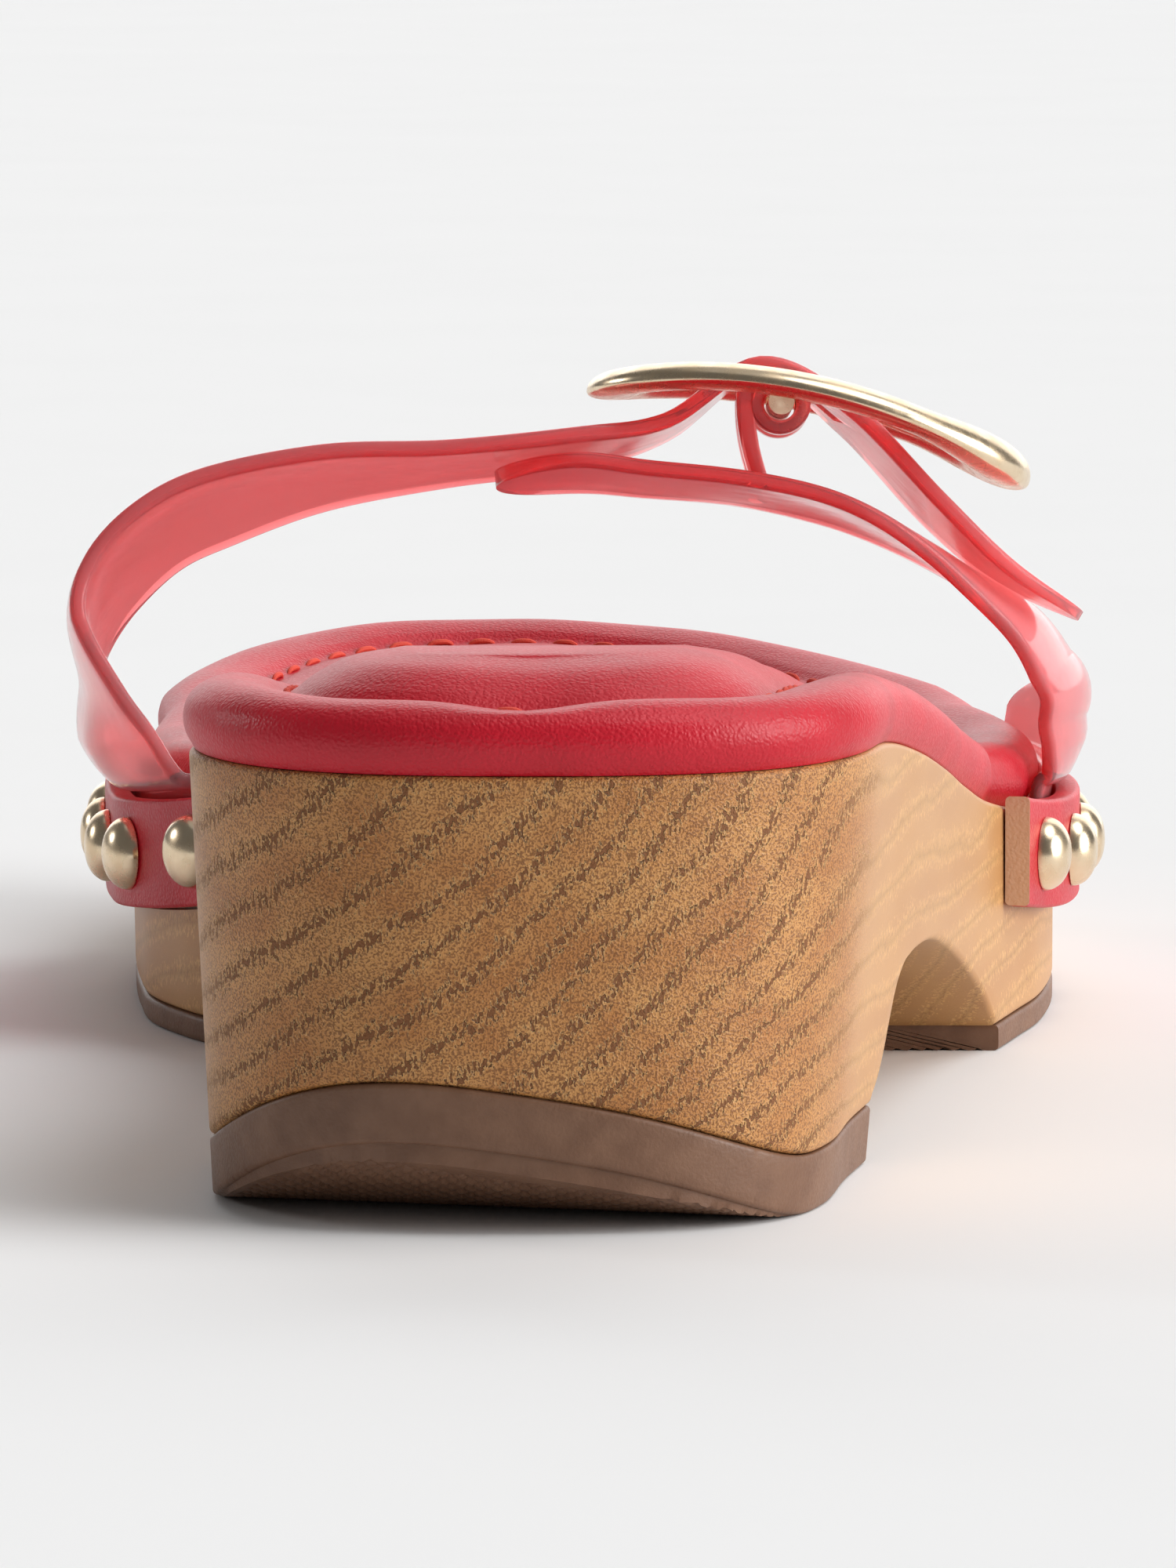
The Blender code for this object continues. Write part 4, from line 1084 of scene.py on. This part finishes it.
def strap(name, table, side):
    """Closed strap: straight lines from the rear edge to the front edge, bowed by the crown, with a wall.

    The hug column moves a section from that free line to a line that follows the platform's side at a
    stand-off and a rise. The free end is drawn in to a round tip, along a half circle.
    """
    rows = np.arange(len(table), dtype=float)
    at = np.linspace(0, rows[-1], (len(table) - 1) * STRAP_ROWS_BETWEEN + 1)
    at = np.unique(np.concatenate([at, at[-1] - np.geomspace(*TIP_SPACING, TIP_ROWS)]))
    value = {key: smooth(rows, table[:, i], at)[:, None] for i, key in enumerate(STRAP_COLUMNS)}
    width = np.hypot(value["front_y"] - value["rear_y"], value["front_z"] - value["rear_z"])
    shares, lifts = strap_section(width, value["thick"])
    left = np.clip((at / at[-1] - (1 - TIP_ROUND)) / TIP_ROUND, 0, TIP_CLOSED)
    across = 0.5 + (shares - 0.5) * np.sqrt(1 - left ** 2)[:, None]
    x, y, z = (value["rear_" + a] * (1 - across) + value["front_" + a] * across for a in "xyz")

    fine = np.linspace(*STRAP_REACH, STRAP_REACH_POINTS)
    edge = side_outline(side, fine, 0.0)
    slant = np.interp(y, fine, np.hypot(np.gradient(edge[:, 0], fine), 1.0))
    follow = np.interp(y, edge[:, 1], edge[:, 0]) + value["stand_off"] * slant * (2 * side - 1)
    hug = np.clip(value["hug"], 0, 1)
    above = section("top", y) + value["rise"]
    surface = np.stack([hug * follow + (1 - hug) * x, y, hug * above + (1 - hug) * z], axis=2)
    bow = (value["crown"] * 4 * across * (1 - across))[:, :, None]
    surface = surface + strap_normal(surface, side) * bow
    wall_out = strap_normal(surface, side) * lifts[:, :, None]
    return loft(name, np.concatenate([surface + wall_out, (surface - wall_out)[:, ::-1]], axis=1))


straps = [strap("medial_strap", MEDIAL_STRAP, 0), strap("lateral_strap", LATERAL_STRAP, 1)]
print("straps:", [len(mesh.polygons) for mesh in straps], "faces")

# %% [markdown]
# The buckle is an oval ring bent to the instep, with a bar across its middle. Two short jelly loops
# hold the bar, and webs lead from them down into the strap under it. The ring, the loops and the prong
# all hang on the bar, so two functions say where ring and bar are, and everything else is placed from
# those. Parents and empties could do that too, but a finished piece sits at the origin, with its place
# in its mesh.

# %% Places on the buckle
RING_CENTRE_X, RING_CENTRE_Y = 22.2, 147.0
RING_HALF_X, RING_HALF_Y, RING_POWER = 19.4, 14.2, 2.3
RING_WIDE, RING_THICK = 6.0, 3.0
RING_SWELL_FROM, RING_SWELL_WIDE, RING_SWELL_THICK = 0.55, 0.25, 0.5
RING_TOP, RING_TOP_X, RING_BEND = 66.6, 10.0, 118.0
INSTEP_SLOPE = 0.12
BAR_X, BAR_DROP, BAR_RADIUS, BAR_GAP = 19.4, 1.8, 1.3, 0.3
LOOP_WALL, LOOP_WIDE, LOOP_OFFSET = 1.5, 5.0, 5.3
COLLAR_AROUND, COLLAR_SECTION = 40, 16
NECK_START, NECK_FOOT, NECK_THICK, NECK_BOW = (-3.4, 0.0, 3.0), (-1.8, 0.0, -8.4), 1.9, 0.7
NECK_NARROWER, NECK_ROWS, NECK_SECTION = 0.2, 12, 24


def lobe(wave):
    """Square root that keeps its sign: it makes a rounded square of a circle's sine and cosine."""
    return np.sign(wave) * np.abs(wave) ** 0.5


def ring_height(x, y):
    """Height of the buckle's middle: bent over the instep and sloping down to the toe."""
    return RING_TOP - (x - RING_TOP_X) ** 2 / RING_BEND - INSTEP_SLOPE * (y - RING_CENTRE_Y + RING_HALF_Y)


def bar_point(y):
    """Point on the axis of the buckle's bar."""
    return np.array([BAR_X, y, ring_height(BAR_X, y) - BAR_DROP])


def collar(name, y, inner, outer, wide):
    """Sleeve round the bar: a rounded section turned about the bar's axis."""
    turn = np.linspace(0, 2 * np.pi, COLLAR_AROUND, endpoint=False)[:, None, None]
    round_off = np.linspace(0, 2 * np.pi, COLLAR_SECTION, endpoint=False)
    reach = ((inner + outer) / 2 + (outer - inner) / 2 * lobe(np.cos(round_off)))[None, :, None]
    shift = (wide / 2 * lobe(np.sin(round_off)))[None, :, None]
    axis = bar_point(y + 0.5) - bar_point(y - 0.5)
    out = np.concatenate([np.cos(turn), 0 * turn, np.sin(turn)], axis=2)
    return loft(name, bar_point(y) + shift * axis + reach * out, ring=True)


def neck(name, y):
    """Bowed web with a rounded section, from beside a loop down into the strap under it."""
    share = np.linspace(0, 1, NECK_ROWS)[:, None, None]
    turn = np.linspace(0, 2 * np.pi, NECK_SECTION, endpoint=False)
    wide = (LOOP_WIDE / 2 - NECK_NARROWER) * lobe(np.sin(turn))
    thick = NECK_THICK / 2 * lobe(np.cos(turn))
    rim = np.stack([thick, wide, -INSTEP_SLOPE * wide], axis=1)[None]
    start, foot = np.array(NECK_START), np.array(NECK_FOOT)
    bow = np.array([-NECK_BOW, 0.0, 0.0]) * np.sin(np.pi * share)
    return loft(name, bar_point(y) + start * (1 - share) + foot * share + bow + rim)


def block(name, low, high):
    """Plain box between two corners, used as a cutter."""
    corners = np.array([(low[1], low[2]), (high[1], low[2]), (high[1], high[2]), (low[1], high[2])])
    return loft(name, np.stack([np.column_stack([np.full(4, x), corners]) for x in (low[0], high[0])]))


bar_height = round(bar_point(RING_CENTRE_Y)[2], 1)
print("ring", 2 * RING_HALF_X, "by", 2 * RING_HALF_Y, "mm, bar", bar_height, "mm up")

# %% [markdown]
# On the real shoe the upper comes out of one mould, so here it is one closed mesh too. The straps, the
# loops and the webs overlap, and a slot lets the prong through the middle. Union and difference make
# one skin of them, so that no inner wall shows through the clear vinyl.

# %% Upper
PRONG_SLOT_ENDS, PRONG_SLOT_WIDE, PRONG_SLOT_UNDER, PRONG_SLOT_OVER = (15.0, 29.0), 3.6, 1.6, 6


def make_upper():
    """Both straps, the loops and their webs as one closed mesh, with the prong's slot cut through."""
    inner = BAR_RADIUS + BAR_GAP
    shells = list(straps)
    for word, offset in (("rear", -LOOP_OFFSET), ("front", LOOP_OFFSET)):
        y = RING_CENTRE_Y + offset
        shells += [collar("loop_" + word, y, inner, inner + LOOP_WALL, LOOP_WIDE), neck("neck_" + word, y)]
    half = PRONG_SLOT_WIDE / 2
    low = (PRONG_SLOT_ENDS[0], RING_CENTRE_Y - half, bar_point(RING_CENTRE_Y)[2] - PRONG_SLOT_UNDER)
    high = (PRONG_SLOT_ENDS[1], RING_CENTRE_Y + half, RING_TOP + PRONG_SLOT_OVER)
    slot = block("prong_slot", low, high)
    show("upper_jelly", united("upper_jelly", shells, [slot]), JELLY, "jelly", "upper")


make_upper()

# %% [markdown]
# The prong is bent from one wire: an eye round the bar, and a rod that rises out of the slot and comes
# to rest in a groove at the ring's far end. Its route is a smooth curve through a few points, and the
# groove is cut along the same curve, so that rod and groove can't miss each other.

# %% Route of the prong
PRONG_RADIUS, PRONG_OVERHANG, PRONG_SINK = 0.9, 1.2, 1.2
PRONG_ROUTE = np.array([(1.6, 1.4), (6.6, 0.6), (15.0, -2.6)])
PRONG_GAP = 0.15
PRONG_REST_FROM, PRONG_REST_OVER, PRONG_REST_PAST = 0.7, 6.0, 60
PRONG_CROWD, PRONG_REST_ROWS, PRONG_REST_SIDES = 1.5, 14, 12


def prong_path(start, count):
    """Points on the prong's axis, from a share of its length to its tip, sunk in the ring's end."""
    eye = bar_point(RING_CENTRE_Y)
    ring_end = RING_CENTRE_X + RING_HALF_X
    ring_top = ring_height(ring_end, RING_CENTRE_Y) + RING_THICK * (1 + RING_SWELL_THICK) / 2
    xs = np.append(eye[0] + PRONG_ROUTE[:, 0], ring_end + PRONG_OVERHANG)
    zs = np.append(eye[2] + PRONG_ROUTE[:, 1], ring_top - PRONG_SINK)
    known = np.arange(len(xs), dtype=float)
    at = known[-1] * (1 - (1 - np.linspace(0, 1, count)) ** PRONG_CROWD * (1 - start))
    return np.stack([smooth(known, xs, at), np.full_like(at, RING_CENTRE_Y), smooth(known, zs, at)], axis=1)


def prong_rest():
    """Cutter for the groove that the prong lies in: round below, open above and past the tip."""
    path = prong_path(PRONG_REST_FROM, PRONG_REST_ROWS)
    path = np.concatenate([path, path[-1:] + (path[-1:] - path[-2:-1]) * PRONG_REST_PAST])
    half = PRONG_RADIUS + PRONG_GAP
    turn = np.linspace(np.pi, 2 * np.pi, PRONG_REST_SIDES)
    trough = np.column_stack([half * np.cos(turn), half * np.sin(turn)])
    profile = np.concatenate([[(-half, PRONG_REST_OVER)], trough, [(half, PRONG_REST_OVER)]])
    rim = np.column_stack([0 * profile[:, 0], profile])
    return loft("prong_rest", path[:, None] + rim[None])


print("prong reaches to", np.round(prong_path(0.0, 2)[-1], 1), "mm")

# %% [markdown]
# The ring is a profile carried round an oval path: domed on top, flatter below. The frame at each point
# of the path is the bent instep's own normal and the direction out of the oval, so the ring lies on the
# foot all the way round. A torus could be squashed and bent instead, but its section would be squashed
# with it.

# %% Buckle
RING_DOME, RING_BELLY, RING_LOWER = 0.6, 0.34, 0.1
RING_AROUND, RING_SECTION, BAR_AROUND, BAR_ROWS = 160, 36, 28, 12


def ring_swell(x):
    """0 on most of the ring, rising smoothly to 1 at its outer end."""
    share = np.clip((x - RING_CENTRE_X) / RING_HALF_X, 0, 1)
    return ease(np.clip((share - RING_SWELL_FROM) / (1 - RING_SWELL_FROM), 0, 1))


def make_buckle():
    """Ring: a dome of half width and height carried round a superellipse, thicker at its outer end.

    A round rod across its middle is the bar, and the prong's groove is cut into the outer end.
    """
    turn = np.linspace(0, 2 * np.pi, RING_AROUND, endpoint=False)
    c, s = np.cos(turn), np.sin(turn)
    x = RING_CENTRE_X + RING_HALF_X * np.sign(c) * np.abs(c) ** (2 / RING_POWER)
    y = RING_CENTRE_Y + RING_HALF_Y * np.sign(s) * np.abs(s) ** (2 / RING_POWER)
    path = np.stack([x, y, ring_height(x, y)], axis=1)
    up = np.stack([2 * (x - RING_TOP_X) / RING_BEND, np.full_like(x, INSTEP_SLOPE), np.ones_like(x)], axis=1)
    up /= np.linalg.norm(up, axis=1, keepdims=True)
    ahead = np.roll(path, -1, axis=0) - np.roll(path, 1, axis=0)
    out = np.cross(ahead, up)
    out /= np.linalg.norm(out, axis=1, keepdims=True)
    angle = np.linspace(0, 2 * np.pi, RING_SECTION, endpoint=False)
    wide = np.cos(angle) * RING_WIDE / 2
    curve = np.where(np.sin(angle) > 0, RING_DOME, RING_BELLY)
    rise = np.sin(angle) * curve * RING_THICK - RING_LOWER * RING_THICK
    swell = ring_swell(x)[:, None]
    out, up = out * (1 + RING_SWELL_WIDE * swell), up * (1 + RING_SWELL_THICK * swell)
    loops = path[:, None] + out[:, None] * wide[None, :, None] + up[:, None] * rise[None, :, None]
    ring = loft("buckle_gold", loops, ring=True)
    turn = np.linspace(0, 2 * np.pi, BAR_AROUND, endpoint=False)
    rim = BAR_RADIUS * np.stack([np.cos(turn), 0 * turn, np.sin(turn)], axis=1)
    places = np.linspace(RING_CENTRE_Y - RING_HALF_Y, RING_CENTRE_Y + RING_HALF_Y, BAR_ROWS)
    bar = loft("bar", np.stack([bar_point(place) + rim for place in places]))
    show("buckle_gold", united("buckle_gold", [ring, bar], [prong_rest()]), GOLD, "gold", "buckle")


make_buckle()

# %% [markdown]
# The prong itself is a tube along that route, united with its eye. A curve with a bevel would give the
# rod, but its round tip would still have to be made: here the radius closes along a circle at the end.

# %% Prong
PRONG_EYE_WALL, PRONG_EYE_WIDE = 1.2, 3.2
PRONG_ROWS, PRONG_SIDES, PRONG_TIP = 44, 20, 0.98


def make_prong():
    """Eye round the bar, and a rod along a smooth route to the far end of the ring, rounded at its tip."""
    inner = BAR_RADIUS + BAR_GAP
    eye = collar("prong_gold", RING_CENTRE_Y, inner, inner + PRONG_EYE_WALL, PRONG_EYE_WIDE)
    path = prong_path(0.0, PRONG_ROWS)
    tip = np.clip((path[-1, 0] - path[:, 0]) / PRONG_RADIUS, 0, 1)
    radius = PRONG_RADIUS * np.sqrt(1 - (1 - tip) ** 2 * PRONG_TIP)
    rod = close_mesh(fill_mesh("rod", *tubes(path[None], radius, PRONG_SIDES)))
    show("prong_gold", united("prong_gold", [eye, rod]), GOLD, "gold", "buckle_prong")


make_prong()

# %% [markdown]
# Leather bands hide the strap's ends. A band is a strip with rounded edges, carried along the
# platform's side at a small stand-off. Thickening a flat strip would do, but its edges would be square.
# The two end loops carry the mark that shows the raw cut.

# %% Bands
BAND_INNER, BAND_THICK, BAND_TALL, BAND_RISE, BAND_ROUND = 0.25, 2.5, 11.0, 0.9, 0.55
BAND_ENDS = ((112.0, 194.0), (123.5, 196.0))
CUT_FACE, CUT_BEHIND, BAND_ROWS = 0.08, 0.8, 90
BAND_TURN = 15.0
SIDE_WORDS = ("medial", "lateral")


def rounded_strip(inner, outer, low, high, radius):
    """Loop of (out, rise): a rectangle with quarter circles at its corners."""
    turn = np.radians(np.arange(0, 360, BAND_TURN))
    corner_x = np.where(np.cos(turn) > -1e-9, outer - radius, inner + radius)
    corner_z = np.where(np.sin(turn) > -1e-9, high - radius, low + radius)
    return np.column_stack([corner_x + radius * np.cos(turn), corner_z + radius * np.sin(turn)])


def make_band(side):
    """Strip along one side of the platform; a fold of extra stations keeps the raw mark on the cut face."""
    word = SIDE_WORDS[side]
    start, end = BAND_ENDS[side]
    middle = np.linspace(start + CUT_BEHIND, end - CUT_BEHIND, BAND_ROWS)
    along = np.concatenate([[start, start + CUT_FACE], middle, [end - CUT_FACE, end]])
    profile = rounded_strip(BAND_INNER, BAND_INNER + BAND_THICK, BAND_RISE - BAND_TALL, BAND_RISE, BAND_ROUND)
    top = section("top", along)
    strips = [np.column_stack([side_outline(side, along, out), top + rise]) for out, rise in profile]
    loops = np.stack(strips, axis=1)
    rows, columns = loops.shape[:2]
    ends = [ladder_quads(columns, 0), ladder_quads(columns, (rows - 1) * columns)]
    name = word + "_band_leather"
    mesh = fill_mesh(name, loops.reshape(-1, 3), np.concatenate([grid_quads(rows, columns, False), *ends]))
    marks = np.zeros((rows, columns), np.float32)
    marks[[0, -1]] = 1.0
    mesh.attributes.new(CUT_MARK, "FLOAT", "POINT").data.foreach_set("value", marks.ravel())
    show(name, close_mesh(mesh), LEATHER, "leather", word + "_band")


print("bands span", [end - start for start, end in BAND_ENDS], "mm of the shoe's length")

# %% [markdown]
# A row of domed nails holds each band. A nail head is a quarter ellipse turned about the band's own
# outward direction. A sphere could be scaled flat, but it would keep a pole of thin triangles in the
# middle of the head.

# %% Nails
STUD_RADIUS, STUD_DOME, STUD_PITCH, STUD_SEAT = 3.7, 2.2, 14.5, 0.1
STUD_FIRST, STUD_COUNT = (122.5, 131.0), (5, 5)
STUD_AROUND, STUD_RINGS, STUD_FOOT = 48, 12, 0.3
STUD_UNDER, STUD_TILTS = (-8, 0), (8, 88)
STUD_NECK, STUD_FULL = 0.9, 0.9


def make_nails(side):
    """Domed heads along a band: a quarter ellipse turned about the band's own outward direction."""
    word = SIDE_WORDS[side]
    along = STUD_FIRST[side] + STUD_PITCH * np.arange(STUD_COUNT[side])
    seats = side_outline(side, along, BAND_INNER + BAND_THICK + STUD_SEAT)
    slopes = side_outline(side, along + 0.5, 0.0) - side_outline(side, along - 0.5, 0.0)
    turn = np.linspace(0, 2 * np.pi, STUD_AROUND, endpoint=False)[None, :, None]
    tilt = np.radians(np.concatenate([STUD_UNDER, np.linspace(*STUD_TILTS, STUD_RINGS)]))[:, None, None]
    reach = np.where(tilt < 0, STUD_NECK, 1.0) * STUD_RADIUS * np.cos(tilt) ** STUD_FULL
    up = np.array([0.0, 0.0, 1.0])
    for number, (seat, slope) in enumerate(zip(seats, slopes), start=1):
        front = np.array([*slope / np.linalg.norm(slope), 0.0])
        out = np.cross(front, up) * (2 * side - 1)
        middle = np.array([*seat, section("top", along[number - 1]) + BAND_RISE - BAND_TALL / 2])
        dome = out * (STUD_DOME + STUD_FOOT) * np.sin(tilt)
        loops = middle + dome + reach * (np.cos(turn) * front + np.sin(turn) * up)
        name = f"{word}_nail_{number}"
        show(name, loft(name, loops), GOLD, "gold", f"{word}_stud_{number}")


for band_side in (0, 1):
    make_band(band_side)
    make_nails(band_side)

# %% [markdown]
# The stage is a plain pale floor under soft light. A broad low light stands to the right and a higher
# one above it, so the shoe's left side and the floor beside it fall into shade. A wide light overhead
# keeps the floor even, one from behind the toe stands for a pale backdrop and puts a sheen on what lies
# flat, and a faint one picks out the left rim. Lamps near the shoe would do it too, but suns with a
# large angle light the floor the same near and far.

# %% Floor and light
FLOOR_HALF, FLOOR_MOTTLES_PER_MM = 6.0, 0.02
FLOOR_TONE, FLOOR_SHADE = (0.88, 0.88, 0.88), (0.8712, 0.8712, 0.8712)
SUNS = {
    "side": {"towards": (0.95, -0.21, 0.26), "strength": 3.0, "angle": 42.0},
    "key": {"towards": (0.46, -0.06, 0.88), "strength": 1.2, "angle": 40.0},
    "overhead": {"towards": (0.10, 0.15, 1.0), "strength": 0.2, "angle": 60.0},
    "backdrop": {"towards": (0.10, 0.93, 0.34), "strength": 1.6, "angle": 70.0},
    "rim": {"towards": (-0.90, 0.42, 0.30), "strength": 0.35, "angle": 12.0},
}
SKY_TONE, SKY_STRENGTH = (1.0, 0.995, 0.99), 0.13


def make_floor():
    """Flat pale floor."""
    made, tree, shader = new_finish("pale_floor")
    mottle = between(tree, noise(tree, millimetres(tree), FLOOR_MOTTLES_PER_MM, 2.0), *NOISE_RANGE)
    connect(tree, shader, Base_Color=blend(tree, mottle, FLOOR_TONE, FLOOR_SHADE))
    shader.inputs["Roughness"].default_value = 0.9
    shader.inputs["Specular IOR Level"].default_value = 0.1
    corners = np.array([(-1, -1, 0), (1, -1, 0), (1, 1, 0), (-1, 1, 0)]) * FLOOR_HALF / MM
    floor = put("floor", fill_mesh("floor", corners, np.arange(4)[None]))
    floor.data.materials.append(made)


def make_light():
    """Suns turned to shine from their own direction, and an even pale sky."""
    for name, sun in SUNS.items():
        lamp = bpy.data.lights.new(name, "SUN")
        lamp.energy, lamp.angle = sun["strength"], np.radians(sun["angle"])
        holder = put(name, lamp)
        x, y, z = sun["towards"]
        holder.rotation_euler = (np.arctan2(np.hypot(x, y), z), 0.0, np.arctan2(y, x) + np.pi / 2)
    world = bpy.data.worlds.new("sky")
    world.use_nodes = True
    sky = world.node_tree.nodes["Background"]
    sky.inputs["Color"].default_value = (*SKY_TONE, 1.0)
    sky.inputs["Strength"].default_value = SKY_STRENGTH
    bpy.context.scene.world = world
    bpy.context.scene.view_settings.view_transform = "Standard"


make_floor()
make_light()
print("stage and light ready")

# %% [markdown]
# Last, one line says that the scene is built.

# %% Finish
print("scene built")
